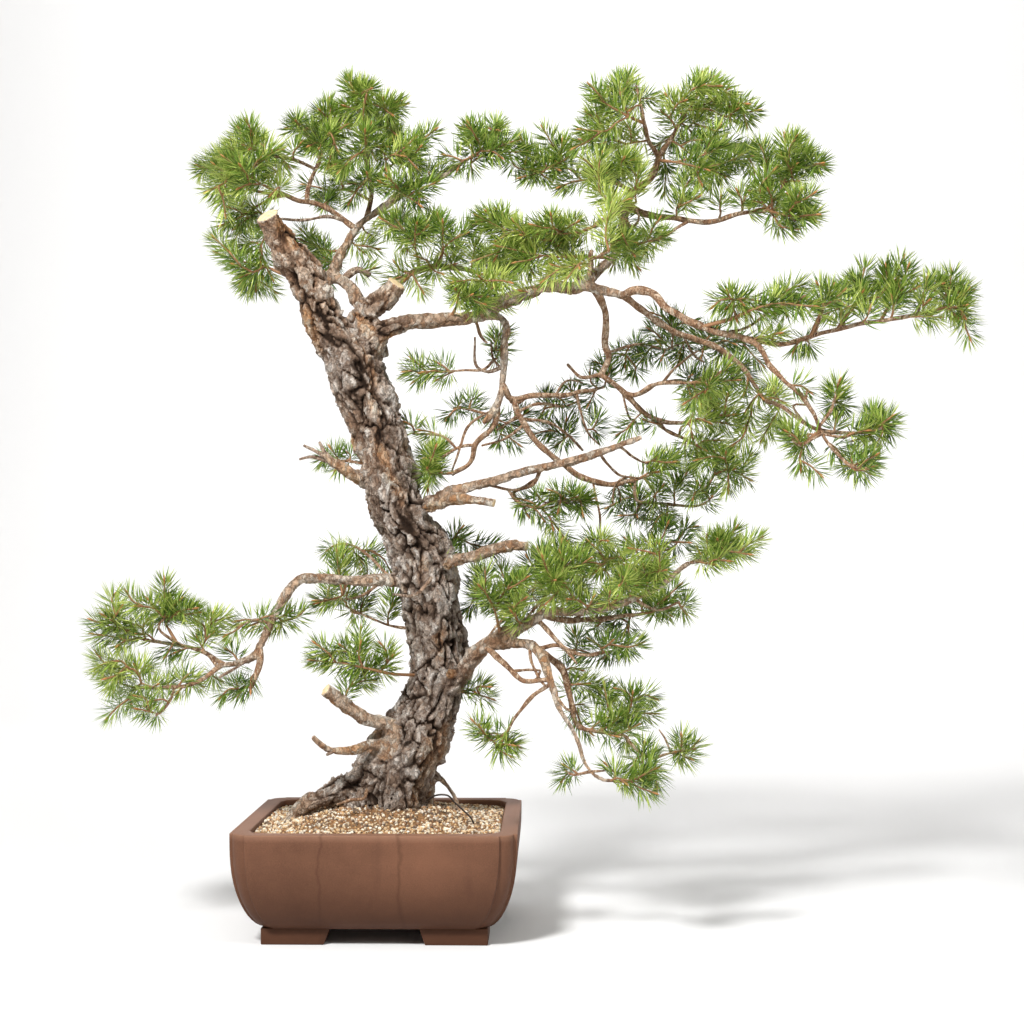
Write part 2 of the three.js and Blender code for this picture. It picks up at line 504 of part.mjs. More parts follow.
// An L under one corner, with the inner ends of its legs slanted.
function foot(turn) {
  const outer = wallHalf(FOOT_HEIGHT) - FOOT_SET_IN;
  const outline = (z, slant) => {
    const edge = outer - FOOT_DRAFT * slant;
    const end = outer - FOOT_LEG + slant;
    const inner = outer - FOOT_WIDTH;
    const points = [[edge, -edge], [edge, -end], [inner, -end], [inner, -inner], [end, -inner], [end, -edge]];
    return points.map(([x, y]) => {
      const p = new THREE.Vector3(x, y, z);
      return p.applyAxisAngle(new THREE.Vector3(0, 0, 1), (turn * Math.PI) / 2);
    });
  };
  return loft([outline(0, FOOT_SLANT), outline(FOOT_HEIGHT + FOOT_OVERLAP, 0)]);
}

function drainHole(x, radius) {
  const hole = new THREE.CylinderGeometry(radius, radius, 3 * FLOOR, DRAIN_SIDES);
  return solidFrom(hole.rotateX(Math.PI / 2).translate(x, 0, FOOT_HEIGHT + FLOOR / 2));
}

function makePot() {
  const levels = [];
  for (let i = 0; i <= POT_LEVELS; i++) {
    const share = (i / POT_LEVELS) ** LEVEL_POWER;
    levels.push(potOutline(FOOT_HEIGHT + share * (POT_HEIGHT - FOOT_HEIGHT)));
  }
  let pot = loft(levels).subtract(loft(INSIDE.map(([z, half]) => insideOutline(z, half))));
  for (let turn = 0; turn < 4; turn++) pot = pot.add(foot(turn));
  for (const side of [-1, 1]) pot = pot.subtract(drainHole(side * DRAIN_AT, DRAIN_RADIUS));
  return pot;
}

function makeScreen(side) {
  const z = FLOOR_TOP + GAP + SCREEN_THICK / 2;
  let screen = box(2 * SCREEN_HALF, 2 * SCREEN_HALF, SCREEN_THICK, side * DRAIN_AT, 0, z);
  const hole = SCREEN_CELL - SCREEN_BAR;
  for (const i of [-0.5, 0.5]) {
    for (const j of [-0.5, 0.5]) {
      const x = side * DRAIN_AT + i * SCREEN_CELL;
      screen = screen.subtract(box(hole, hole, 3 * SCREEN_THICK, x, j * SCREEN_CELL, z));
    }
  }
  return screen;
}

// Soil. The height of the grit, with its grains, over the pot's floor.
function soilHeight(x, y) {
  const out = (x * x + y * y) / (2 * MOUND_SPREAD * MOUND_SPREAD);
  return SOIL_AT_WALL + MOUND_HEIGHT * Math.exp(-out);
}

function makeSoil(buried) {
  const half = RIM_HALF;
  const cell = (2 * half) / SOIL_CELLS;
  const row = SOIL_CELLS + 1;
  const vertices = [];
  for (let j = 0; j < row; j++) {
    for (let i = 0; i < row; i++) {
      const inside = i > 0 && j > 0 && i < SOIL_CELLS && j < SOIL_CELLS;
      const shift = inside ? CELL_SHIFT * cell : 0;
      const x = -half + i * cell + shift * draw();
      const y = -half + j * cell + shift * draw();
      vertices.push(x, y, soilHeight(x, y) + GRAIN * draw());
    }
  }
  const faces = [];
  for (let j = 0; j < SOIL_CELLS; j++) {
    for (let i = 0; i < SOIL_CELLS; i++) {
      const a = j * row + i;
      faces.push(a, a + 1, a + row + 1, a, a + row + 1, a + row);
    }
  }
  const rim = [];
  for (let i = 0; i < SOIL_CELLS; i++) rim.push(i);
  for (let j = 0; j < SOIL_CELLS; j++) rim.push(j * row + SOIL_CELLS);
  for (let i = SOIL_CELLS; i > 0; i--) rim.push(SOIL_CELLS * row + i);
  for (let j = SOIL_CELLS; j > 0; j--) rim.push(j * row);
  const below = vertices.length / 3;
  for (const v of rim) vertices.push(vertices[3 * v], vertices[3 * v + 1], 0);
  vertices.push(0, 0, 0);
  const centre = below + rim.length;
  rim.forEach((v, k) => {
    const next = (k + 1) % rim.length;
    faces.push(v, below + k, below + next, v, below + next, rim[next]);
    faces.push(centre, below + next, below + k);
  });
  const filling = INSIDE.map(([z, width], k) => insideOutline(z + (k === 0 ? GAP : 0), width - GAP));
  let soil = solid(vertices, faces).intersect(loft(filling));
  for (const side of [-1, 1]) {
    const room = 2 * (SCREEN_HALF + GAP);
    const height = 2 * (SCREEN_THICK + 2 * GAP);
    soil = soil.subtract(box(room, room, height, side * DRAIN_AT, 0, FLOOR_TOP));
  }
  for (const piece of buried) soil = soil.subtract(piece);
  return soil;
}

// Tree. A value from a short list, spread evenly from 0 to 1.
function spread(list, share) {
  const place = share * (list.length - 1);
  const i = Math.min(Math.floor(place), list.length - 2);
  return list[i] + (list[i + 1] - list[i]) * (place - i);
}

// Bark plates: cells of a jittered lattice round and along the wood, flat on top with a fissure between.
function barkPlate(angle, along, radius) {
  const around = Math.max(3, Math.round((2 * Math.PI * radius) / BARK_PLATE));
  const u = ((angle / (2 * Math.PI)) * around + around) % around;
  const v = along / (PLATE_STRETCH * BARK_PLATE);
  let nearest = Infinity;
  let second = Infinity;
  for (let j = Math.floor(v) - 1; j <= Math.floor(v) + 1; j++) {
    for (let i = Math.floor(u) - 1; i <= Math.floor(u) + 1; i++) {
      const cell = ((i + around) % around) + CELL_ROW * j;
      const du = i + 0.5 + SCATTER_ROUND * (scatter(cell) - 0.5) - u;
      const dv = j + 0.5 + SCATTER_ALONG * (scatter(cell + 0.5) - 0.5) - v;
      const far = Math.hypot(du, dv);
      if (far < nearest) {
        second = nearest;
        nearest = far;
      } else if (far < second) {
        second = far;
      }
    }
  }
  return Math.min(1, PLATE_EDGE * (second - nearest)) - 0.5;
}

// The trunk's surface: bark plates, and at the foot the ridges that run out into roots.
function trunkRelief(angle, along, radius) {
  const foot = Math.max(0, 1 - along / FLARE_LENGTH);
  const ridge = Math.cos(5 * angle + 0.8) + 0.6 * Math.cos(2 * angle - 0.5);
  return BARK_DEPTH * barkPlate(angle, along, radius) + FLARE * foot * ridge;
}

function boughRelief(angle, along, radius) {
  return BOUGH_BARK * radius * barkPlate(angle, along, radius);
}

// A closed limb along a smooth route. The radii are spread over the route's points, and extra makes the
// same limb a little fatter, for the hole that it stands in.
function limb(route, radii, sides, step, relief = null, extra = 0) {
  const curve = new THREE.CatmullRomCurve3(route, false, "centripetal");
  const length = curve.getLength();
  const rings = Math.max(2, Math.round(length / step));
  const frames = curve.computeFrenetFrames(rings, false);
  const vertices = [];
  const centres = [];
  const thick = [];
  for (let i = 0; i <= rings; i++) {
    const share = i / rings;
    const centre = curve.getPointAt(share);
    const radius = spread(radii, curve.getUtoTmapping(share));
    for (let j = 0; j < sides; j++) {
      const angle = (2 * Math.PI * j) / sides;
      const reach = radius + extra + (relief ? relief(angle, share * length, radius) : 0);
      const p = centre.clone();
      p.addScaledVector(frames.normals[i], reach * Math.cos(angle));
      p.addScaledVector(frames.binormals[i], reach * Math.sin(angle));
      vertices.push(p.x, p.y, p.z);
    }
    centres.push(centre);
    thick.push(radius);
  }
  const faces = [];
  for (let i = 0; i < rings; i++) {
    for (let j = 0; j < sides; j++) {
      const a = i * sides + j;
      const b = i * sides + ((j + 1) % sides);
      faces.push(a, b, b + sides, a, b + sides, a + sides);
    }
  }
  const top = rings * sides;
  for (let j = 1; j + 1 < sides; j++) {
    faces.push(0, j + 1, j);
    faces.push(top, top + j, top + j + 1);
  }
  const rods = centres.slice(1).map((b, i) => ({ a: centres[i], b, ra: thick[i], rb: thick[i + 1] }));
  return { made: solid(vertices, faces), rods, end: curve.getPointAt(1), way: curve.getTangentAt(1) };
}

function sidesFor(radius) {
  return LIMB_SIDES.find(([thicker]) => radius > thicker)[1];
}

// How near two tapered rods come, surface to surface.
function clearance(p, q) {
  const d1 = p.b.clone().sub(p.a);
  const d2 = q.b.clone().sub(q.a);
  const r = p.a.clone().sub(q.a);
  const a = d1.dot(d1);
  const e = d2.dot(d2);
  const b = d1.dot(d2);
  const c = d1.dot(r);
  const f = d2.dot(r);
  const spreadOut = a * e - b * b;
  const clamp = (value) => Math.min(1, Math.max(0, value));
  let s = spreadOut > 1e-9 ? clamp((b * f - c * e) / spreadOut) : 0;
  let t = (b * s + f) / e;
  if (t < 0 || t > 1) {
    t = clamp(t);
    s = clamp((b * t - c) / a);
  }
  const apart = r.addScaledVector(d1, s).addScaledVector(d2, -t).length();
  return apart - (p.ra + (p.rb - p.ra) * s) - (q.ra + (q.rb - q.ra) * t);
}

function near(p, q, margin) {
  const reach = p.a.distanceTo(p.b) + q.a.distanceTo(q.b) + 2 * (p.ra + q.ra + margin);
  const mid = (rod) => rod.a.clone().add(rod.b);
  return mid(p).distanceTo(mid(q)) < reach;
}

function isClear(rod, others, margin) {
  return others.every((other) => !near(rod, other, margin) || clearance(rod, other) > margin);
}

// A route in space, its first point moved onto the middle of the wood that carries it.
function grownFrom(route, rods) {
  const points = route.map((point) => at(point));
  let nearest = null;
  let distance = Infinity;
  for (const rod of rods) {
    const candidate = new THREE.Line3(rod.a, rod.b).closestPointToPoint(points[0], true, new THREE.Vector3());
    const reach = candidate.distanceTo(points[0]);
    if (reach < distance) {
      distance = reach;
      nearest = candidate;
    }
  }
  points[0] = nearest;
  return points;
}

// The wood, with the rods that stand for it when needles look for their way.
function makeWood() {
  const radii = TRUNK.map((point) => point[3]);
  const trunkRoute = TRUNK.map((point) => at(point));
  const trunk = limb(trunkRoute, radii, TRUNK_SIDES, TRUNK_STEP, trunkRelief);
  const pieces = [trunk.made];
  const buried = [limb(trunkRoute, radii, TRUNK_SIDES, TRUNK_STEP, trunkRelief, GAP).made];
  const rods = [...trunk.rods];
  for (const [name, [thick, ...route]] of Object.entries(LIMBS)) {
    const widest = Math.max(...thick);
    const relief = widest > THICK_LIMB ? boughRelief : null;
    const step = widest > THICK_LIMB ? THICK_STEP : THIN_STEP;
    const points = widest > THICK_LIMB ? route.map((point) => at(point)) : grownFrom(route, rods);
    const grown = limb(points, thick, sidesFor(thick[1]), step, relief);
    pieces.push(grown.made);
    rods.push(...grown.rods);
    if (name.startsWith("root")) {
      buried.push(limb(points, thick, sidesFor(thick[1]), step, relief, GAP).made);
    }
  }
  const feet = {};
  const twigs = [];
  for (const [name, [twig]] of Object.entries(SPRAYS)) {
    const grown = limb(grownFrom(twig, rods), TWIG_RADII, 3, THIN_STEP);
    pieces.push(grown.made);
    twigs.push(...grown.rods);
    feet[name] = grown;
  }
  const barked = rods.map((rod) => {
    const bark = rod.ra > THICK_LIMB ? BARK_MARGIN * Math.min(1, rod.ra / FULL_BARK) : 0;
    return { ...rod, ra: rod.ra + bark, rb: rod.rb + bark };
  });
  return { made: wasm.Manifold.union(pieces), rods: [...barked, ...twigs], buried, feet };
}

// The way that a needle takes from its place on the stem: it leans out more near the foot than at the bud,
// and turns aside where another piece or needle is in its way. Null where there is no room for it.
function needleWay(from, axis, outwards, share, others) {
  const side = axis.clone().cross(outwards);
  for (let attempt = 0; attempt < NEEDLE_TRIES; attempt++) {
    const loose = FIRST_SWING + NEXT_SWING * attempt;
    const lean = THREE.MathUtils.degToRad(NEEDLE_LEAN - LEAN_FORWARD * share + loose * draw());
    const turn = THREE.MathUtils.degToRad(loose * TURN_SWING * draw());
    const out = outwards.clone().multiplyScalar(Math.cos(turn)).addScaledVector(side, Math.sin(turn));
    const way = axis.clone().multiplyScalar(Math.cos(lean)).addScaledVector(out, Math.sin(lean));
    const tip = from.clone().addScaledVector(way, NEEDLE * (1 - SHORTER * Math.abs(draw())));
    const start = from.clone().lerp(tip, NEEDLE_FOOT);
    const rod = { a: start, b: tip, ra: (1 - NEEDLE_FOOT) * NEEDLE_BASE, rb: NEEDLE_TIP };
    if (isClear(rod, others, NEEDLE_ROOM)) return rod;
  }
  return null;
}

// Where a shoot's rings lie along it, and which of them starts a band of needles. The whorl at the tip has
// two bands, and the first shoot of a spray has whorls of one band before it.
function stationsOf(length, first) {
  const tip = length - 1;
  const stations = [
    { along: tip - 2 * WHORL_STEP, leafy: true },
    { along: tip - WHORL_STEP, leafy: true },
    { along: tip, leafy: false },
  ];
  let whorl = tip - 2 * WHORL_STEP - WHORL_PITCH;
  for (let i = 1; first && i < WHORLS && whorl > FORK + FORK_ROOM; i++) {
    stations.unshift({ along: whorl, leafy: true }, { along: whorl + WHORL_STEP, leafy: false });
    whorl -= WHORL_PITCH;
  }
  const start = first ? FORK - GAP : 0;
  const bare = stations[0].along - start;
  if (bare > LONG_BARE) stations.unshift({ along: start + bare / 2, leafy: false });
  if (first) stations.unshift({ along: start, leafy: false });
  stations.unshift({ along: 0, leafy: false });
  return stations;
}

// A shoot's curve, its stations and the middles of its rings, which the shoots that leave it start from.
function plan(route, first) {
  const curve = new THREE.CatmullRomCurve3(route, false, "centripetal");
  const length = curve.getLength();
  const stations = stationsOf(length, first);
  const centres = stations.map((station) => curve.getPointAt(station.along / length));
  const tip = curve.getPointAt(1).addScaledVector(curve.getTangentAt(1), BUD);
  return { curve, length, stations, centres, tip, rods: rodsBetween([...centres, tip]) };
}

function rodsBetween(points) {
  return points.slice(1).map((b, i) => ({ a: points[i], b, ra: CORE_RADIUS, rb: CORE_RADIUS }));
}

// The point at a share of the way along a planned shoot.
function placeOn(planned, share) {
  const along = share * planned.length;
  const k = planned.stations.findIndex((station) => station.along >= along);
  const before = planned.stations[k - 1].along;
  const part = (along - before) / (planned.stations[k].along - before);
  return planned.centres[k - 1].clone().lerp(planned.centres[k], part);
}

// One shoot: a three-sided stem whose rings are each turned by half a side, so that its faces lie evenly
// round it. In a leafy band each face is drawn out into a needle, and the last ring runs out into the bud.
function shoot(planned, startRadius, obstacles, needles) {
  const { curve, length, stations, centres } = planned;
  const frame = curve.computeFrenetFrames(FRAME_STEPS, false);
  const vertices = [];
  stations.forEach(({ along }, k) => {
    const share = along / length;
    const step = Math.round(share * FRAME_STEPS);
    const swell = THREE.MathUtils.lerp(1 + CORE_SWELL, 1 - CORE_TAPER, share);
    const radius = k === 0 ? startRadius : CORE_RADIUS * swell;
    for (let j = 0; j < 3; j++) {
      const angle = ((2 * j + k) * Math.PI) / 3;
      const p = centres[k].clone();
      p.addScaledVector(frame.normals[step], radius * Math.cos(angle));
      p.addScaledVector(frame.binormals[step], radius * Math.sin(angle));
      vertices.push(p);
    }
  });
  const faces = [[0, 2, 1]];
  const own = [];
  const grown = [];
  for (let k = 0; k + 1 < stations.length; k++) {
    const axis = centres[k + 1].clone().sub(centres[k]).normalize();
    for (let j = 0; j < 3; j++) {
      const a = 3 * k + j;
      const b = 3 * k + ((j + 1) % 3);
      for (const face of [[a, b, a + 3], [b, b + 3, a + 3]]) {
        const rod = stations[k].leafy ? needleFrom(face, k, axis) : null;
        if (!rod) {
          faces.push(face);
          continue;
        }
        const apex = vertices.push(rod.b) - 1;
        faces.push([face[0], face[1], apex], [face[1], face[2], apex], [face[2], face[0], apex]);
      }
    }
  }
  const last = 3 * (stations.length - 1);
  const bud = vertices.push(planned.tip) - 1;
  for (let j = 0; j < 3; j++) faces.push([last + j, last + ((j + 1) % 3), bud]);
  needles.push(...grown);
  return solid(vertices.flatMap((p) => [p.x, p.y, p.z]), faces.flat());

  function needleFrom(face, k, axis) {
    const middle = new THREE.Vector3();
    for (const corner of face) middle.addScaledVector(vertices[corner], 1 / 3);
    const outwards = middle.clone().sub(centres[k]);
    outwards.addScaledVector(axis, -outwards.dot(axis)).normalize();
    outwards.applyAxisAngle(axis, (k % 2 === 0 ? 1 : -1) * RING_TURN);
    const share = stations[k].along / length;
    const rod = needleWay(middle, axis, outwards, share, [...obstacles, ...needles, ...own]);
    if (!rod) return null;
    own.push({ ...rod, a: middle.clone().lerp(rod.b, OWN_FOOT), ra: (1 - OWN_FOOT) * NEEDLE_BASE });
    grown.push(rod);
    return rod;
  }
}

// A spray's shoots. The first follows the twig and then bends to its bud, and the others start inside it.
// A shoot that would cross the wood or another spray is bent clear.
function planSpray(foot, extra, shoots, others) {
  const start = foot.end.clone().addScaledVector(foot.way, GAP);
  const fork = foot.end.clone().addScaledVector(foot.way, FORK);
  const plans = [];
  for (const drawn of shoots) {
    const branches = typeof drawn[0] === "number";
    const points = (branches ? drawn.slice(1) : drawn).map((point) => at(point, extra));
    const first = plans.length === 0;
    const share = branches ? drawn[0] : 0;
    const from = first ? fork : share ? placeOn(plans[0], share) : plans[0].centres[1];
    let found = null;
    for (let attempt = 0; attempt < SHOOT_TRIES && !found; attempt++) {
      const moved = points.map((p) => {
        return p.clone().addScaledVector(new THREE.Vector3(draw(), draw(), draw()), SHOOT_NUDGE * attempt);
      });
      const bend = from.clone().lerp(moved[0], 0.5);
      bend.addScaledVector(foot.way, SHOOT_BEND * from.distanceTo(moved[0]));
      const candidate = plan([...(first ? [start, fork] : [from]), bend, ...moved], first);
      const tested = candidate.rods.slice(first ? 1 : 0);
      if (tested.every((rod) => isClear(rod, others, SHOOT_ROOM))) found = candidate;
    }
    if (!found) throw new Error("a shoot has no way out of " + foot.end.toArray().map(Math.round));
    plans.push(found);
  }
  return plans;
}

// All the sprays. Stems are settled first, so that every needle knows what it has to clear.
function makeSprays(wood) {
  const planned = {};
  const stems = [];
  for (const [name, [twig, ...shoots]] of Object.entries(SPRAYS)) {
    const foot = wood.feet[name];
    const others = [...wood.rods.filter((rod) => !foot.rods.includes(rod)), ...stems];
    planned[name] = planSpray(foot, deeper(twig[twig.length - 1]), shoots, others);
    stems.push(...planned[name].flatMap((one) => one.rods));
  }
  const needles = [];
  const sprays = {};
  for (const [name, plans] of Object.entries(planned)) {
    const parts = plans.map((one, i) => {
      const obstacles = [...wood.rods, ...stems].filter((rod) => !one.rods.includes(rod));
      return shoot(one, i === 0 ? CORE_RADIUS : FORKED_RADIUS, obstacles, needles);
    });
    sprays[name] = wasm.Manifold.union(parts);
  }
  return sprays;
}

// The loop of wire that stands out of the grit at the right of the trunk. Both its ends are buried.
function makeWire(extra = 0) {
  const radii = [WIRE_RADIUS + extra, WIRE_RADIUS + extra];
  return limb(WIRE.map((point) => at(point)), radii, 5, 12).made;
}

const wood = makeWood();
const stoneware = finish(COLOURS.stoneware, 0.85);
const grit = finish(COLOURS.grit, 0.95);
const object = new THREE.Group();
object.add(meshFrom("trunk", wood.made, finish(COLOURS.bark, 0.95)));
object.add(meshFrom("pot", makePot(), stoneware));
object.add(meshFrom("soil", makeSoil([...wood.buried, makeWire(GAP)]), grit));
object.add(meshFrom("tie_wire", makeWire(), finish(COLOURS.wire, 0.5)));
object.add(meshFrom("drain_screen_1", makeScreen(-1), finish(COLOURS.mesh, 0.6)));
object.add(meshFrom("drain_screen_2", makeScreen(1), finish(COLOURS.mesh, 0.6)));
for (const [name, made] of Object.entries(makeSprays(wood))) {
  object.add(meshFrom(name, made, finish(COLOURS.needles, 0.6)));
}

// The origin goes to the bottom centre of the whole object's box.
const bounds = new THREE.Box3().setFromObject(object, true);
const centre = bounds.getCenter(new THREE.Vector3());
object.position.set(-centre.x, -centre.y, -bounds.min.z);
object.updateMatrixWorld(true);

export default object;
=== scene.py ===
"""Scots pine bonsai in a square stoneware pot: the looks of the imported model.

The file follows the plant as it is potted: the pot, the drain screens, the grit, the wire, the wood with its
bark, then the leafy sprays, and last the floor, the light and the camera. All sizes are in metres, in the frame
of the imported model. Routes of wood are in millimetres, as a grower would measure them from the front.
"""

import math
import random

import bmesh
import bpy
import numpy as np
from mathutils import Matrix, Vector, kdtree, noise


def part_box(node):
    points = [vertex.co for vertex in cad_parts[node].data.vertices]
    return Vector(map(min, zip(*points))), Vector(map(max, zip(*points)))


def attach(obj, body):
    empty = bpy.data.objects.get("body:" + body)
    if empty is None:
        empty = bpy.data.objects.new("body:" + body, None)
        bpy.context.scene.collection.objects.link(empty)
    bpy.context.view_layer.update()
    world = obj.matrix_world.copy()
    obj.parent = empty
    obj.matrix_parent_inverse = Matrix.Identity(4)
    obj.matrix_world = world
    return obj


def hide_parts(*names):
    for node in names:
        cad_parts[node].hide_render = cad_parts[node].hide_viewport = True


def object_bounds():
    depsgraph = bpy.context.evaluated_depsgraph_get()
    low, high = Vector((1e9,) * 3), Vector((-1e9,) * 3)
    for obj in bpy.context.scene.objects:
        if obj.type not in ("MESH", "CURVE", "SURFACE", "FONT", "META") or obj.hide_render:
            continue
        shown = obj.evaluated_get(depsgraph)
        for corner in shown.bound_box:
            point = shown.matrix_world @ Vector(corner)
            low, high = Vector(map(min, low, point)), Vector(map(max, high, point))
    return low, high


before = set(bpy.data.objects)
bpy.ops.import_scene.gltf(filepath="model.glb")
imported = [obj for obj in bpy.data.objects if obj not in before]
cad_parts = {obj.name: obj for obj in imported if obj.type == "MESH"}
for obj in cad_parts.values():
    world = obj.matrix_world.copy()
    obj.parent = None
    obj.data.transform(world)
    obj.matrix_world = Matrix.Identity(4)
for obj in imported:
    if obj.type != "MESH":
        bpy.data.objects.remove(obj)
cad_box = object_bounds()


# Pot. A square tray of unglazed brown stoneware, slab built: four panels that stand proud of a rounded corner
# post, a flat rim, a floor with two drain holes and an L-shaped foot under each corner. It was fired dark, with
# faint vertical streaks. The rim's top carries painted light, lighter as if lit from above, and the colour grows
# darker towards the foot.
pot_low, pot_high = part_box("pot")
POT_X = (pot_low.x + pot_high.x) / 2
POT_Y = (pot_low.y + pot_high.y) / 2
RIM_HALF = 0.1978
RIM_TOP = 0.156
BODY_BOTTOM = 0.021
PANEL_PROUD = 0.005
CORNER_ROUND = 0.0150
RIM_WIDTH = 0.024
STONEWARE_DARK = (0.095, 0.040, 0.021, 1)
STONEWARE = (0.150, 0.066, 0.036, 1)
STONEWARE_RED = (0.205, 0.090, 0.049, 1)
DRIPS = (-0.072, 0.040)


def wall_half(z):
    down = (RIM_TOP - z) / (RIM_TOP - BODY_BOTTOM)
    return RIM_HALF - 0.033 * down**2.9 - 0.008 * down**20


def start_piece(name):
    """Names the primitive that was just added, and its mesh."""
    piece = bpy.context.object
    piece.name = name
    piece.data.name = name
    return piece


def pick_faces(piece, wanted):
    """Selects the faces in edit mode for which wanted(face) is true."""
    shape = bmesh.from_edit_mesh(piece.data)
    shape.select_mode = {"FACE"}
    for face in shape.faces:
        face.select = False
    for face in shape.faces:
        if wanted(face):
            face.select = True
    shape.select_flush_mode()
    bmesh.update_edit_mesh(piece.data)


def apply_modifier(piece, kind, **values):
    bpy.context.view_layer.objects.active = piece
    modifier = piece.modifiers.new(kind.lower(), kind)
    for key, value in values.items():
        setattr(modifier, key, value)
    bpy.ops.object.modifier_apply(modifier=modifier.name)


def settle(piece):
    """Puts the piece's place into its mesh, so that the object stands at the origin, unturned."""
    bpy.ops.object.select_all(action="DESELECT")
    piece.select_set(True)
    bpy.context.view_layer.objects.active = piece
    bpy.ops.object.transform_apply(location=True, rotation=True, scale=True)


def throw_slab(name, half, bottom, corner, segments):
    """A flat square slab with rounded corners, left in edit mode with its one face selected."""
    bpy.ops.object.select_all(action="DESELECT")
    bpy.ops.mesh.primitive_plane_add(size=2 * half, location=(POT_X, POT_Y, bottom))
    slab = start_piece(name)
    bpy.ops.object.mode_set(mode="EDIT")
    bpy.ops.mesh.select_all(action="SELECT")
    bpy.ops.mesh.bevel(offset=corner, segments=segments, affect="VERTICES")
    bpy.ops.mesh.select_all(action="SELECT")
    return slab


def raise_wall(levels):
    """Draws the selected face up through levels of (height, half width)."""
    for (low, before), (high, after) in zip(levels, levels[1:]):
        bpy.ops.mesh.extrude_region_move(TRANSFORM_OT_translate={"value": (0, 0, high - low)})
        ratio = after / before
        bpy.ops.transform.resize(value=(ratio, ratio, 1), center_override=(POT_X, POT_Y, high))


levels = []
for i in range(15):
    z = BODY_BOTTOM + (i / 14) ** 1.6 * (RIM_TOP - BODY_BOTTOM)
    levels.append((z, wall_half(z) - PANEL_PROUD))
pot = throw_slab("stoneware_pot", levels[0][1], BODY_BOTTOM, CORNER_ROUND, 7)
raise_wall(levels)
for way in (Vector((1, 0, 0)), Vector((-1, 0, 0)), Vector((0, 1, 0)), Vector((0, -1, 0))):

    def is_panel(face):
        flat = Vector((face.normal.x, face.normal.y, 0))
        if flat.length < 0.5 or abs(face.normal.z) > 0.9:
            return False
        return flat.normalized().dot(way) > 0.9995 and face.calc_area() > 1e-4

    bpy.ops.mesh.select_all(action="SELECT")
    bpy.ops.mesh.normals_make_consistent(inside=False)
    pick_faces(pot, is_panel)
    bpy.ops.mesh.extrude_region_move(TRANSFORM_OT_translate={"value": tuple(PANEL_PROUD * way)})
bpy.ops.mesh.select_all(action="SELECT")
bpy.ops.mesh.normals_make_consistent(inside=False)
bpy.ops.object.mode_set(mode="OBJECT")
settle(pot)

hollow = [
    (0.176, RIM_HALF - RIM_WIDTH),
    (0.140, RIM_HALF - RIM_WIDTH),
    (0.100, wall_half(0.100) - 0.016),
    (0.055, wall_half(0.055) - 0.014),
    (0.035, wall_half(0.035) - 0.028),
]
cavity = throw_slab("cavity", hollow[0][1], hollow[0][0], 0.026, 2)
raise_wall(hollow)
bpy.ops.mesh.select_all(action="SELECT")
bpy.ops.mesh.normals_make_consistent(inside=False)
bpy.ops.object.mode_set(mode="OBJECT")
settle(cavity)
cutters = [cavity]
for side in (-1, 1):
    bpy.ops.object.select_all(action="DESELECT")
    bpy.ops.mesh.primitive_cylinder_add(
        vertices=40, radius=0.019, depth=0.05, location=(POT_X + side * 0.08, POT_Y, 0.028)
    )
    drain = start_piece("drain_cutter")
    settle(drain)
    cutters.append(drain)
for cutter in cutters:
    apply_modifier(pot, "BOOLEAN", operation="DIFFERENCE", solver="EXACT", object=cutter)
    bpy.data.objects.remove(cutter)

FOOT_OUTER = wall_half(BODY_BOTTOM)
FOOT_LEG = 0.095
FOOT_WIDTH = 0.030
FOOT_TOP = 0.023
feet = []
for turn in range(4):
    bpy.ops.object.select_all(action="DESELECT")
    bpy.ops.mesh.primitive_cube_add(size=1, location=(0, 0, 0))
    foot = start_piece("foot")
    foot.dimensions = (FOOT_WIDTH, FOOT_WIDTH, FOOT_TOP)
    middle = FOOT_OUTER - FOOT_WIDTH / 2
    foot.location = (middle, -middle, FOOT_TOP / 2)
    settle(foot)
    bpy.ops.object.mode_set(mode="EDIT")
    for way in (Vector((-1, 0, 0)), Vector((0, 1, 0))):
        pick_faces(foot, lambda face: face.normal.dot(way) > 0.99 and (face.calc_center_median() - Vector(
            (middle, -middle, FOOT_TOP / 2))).length < 0.02)
        reach = FOOT_LEG - FOOT_WIDTH
        bpy.ops.mesh.extrude_region_move(TRANSFORM_OT_translate={"value": tuple(reach * way)})
    shape = bmesh.from_edit_mesh(foot.data)
    for corner in shape.verts:
        if corner.co.z > FOOT_TOP / 2:
            continue
        if corner.co.x < middle - FOOT_WIDTH:
            corner.co.x += 0.008
        if corner.co.y > -middle + FOOT_WIDTH:
            corner.co.y -= 0.008
    bmesh.update_edit_mesh(foot.data)
    bpy.ops.object.mode_set(mode="OBJECT")
    foot.data.transform(Matrix.Rotation(turn * math.pi / 2, 4, "Z"))
    foot.data.transform(Matrix.Translation((POT_X, POT_Y, 0)))
    feet.append(foot)
bpy.ops.object.select_all(action="DESELECT")
for part in (*feet, pot):
    part.select_set(True)
bpy.context.view_layer.objects.active = pot
bpy.ops.object.join()
apply_modifier(pot, "BEVEL", width=0.0016, segments=3, limit_method="ANGLE", angle_limit=math.radians(38))
bpy.ops.object.shade_smooth_by_angle(angle=math.radians(32))


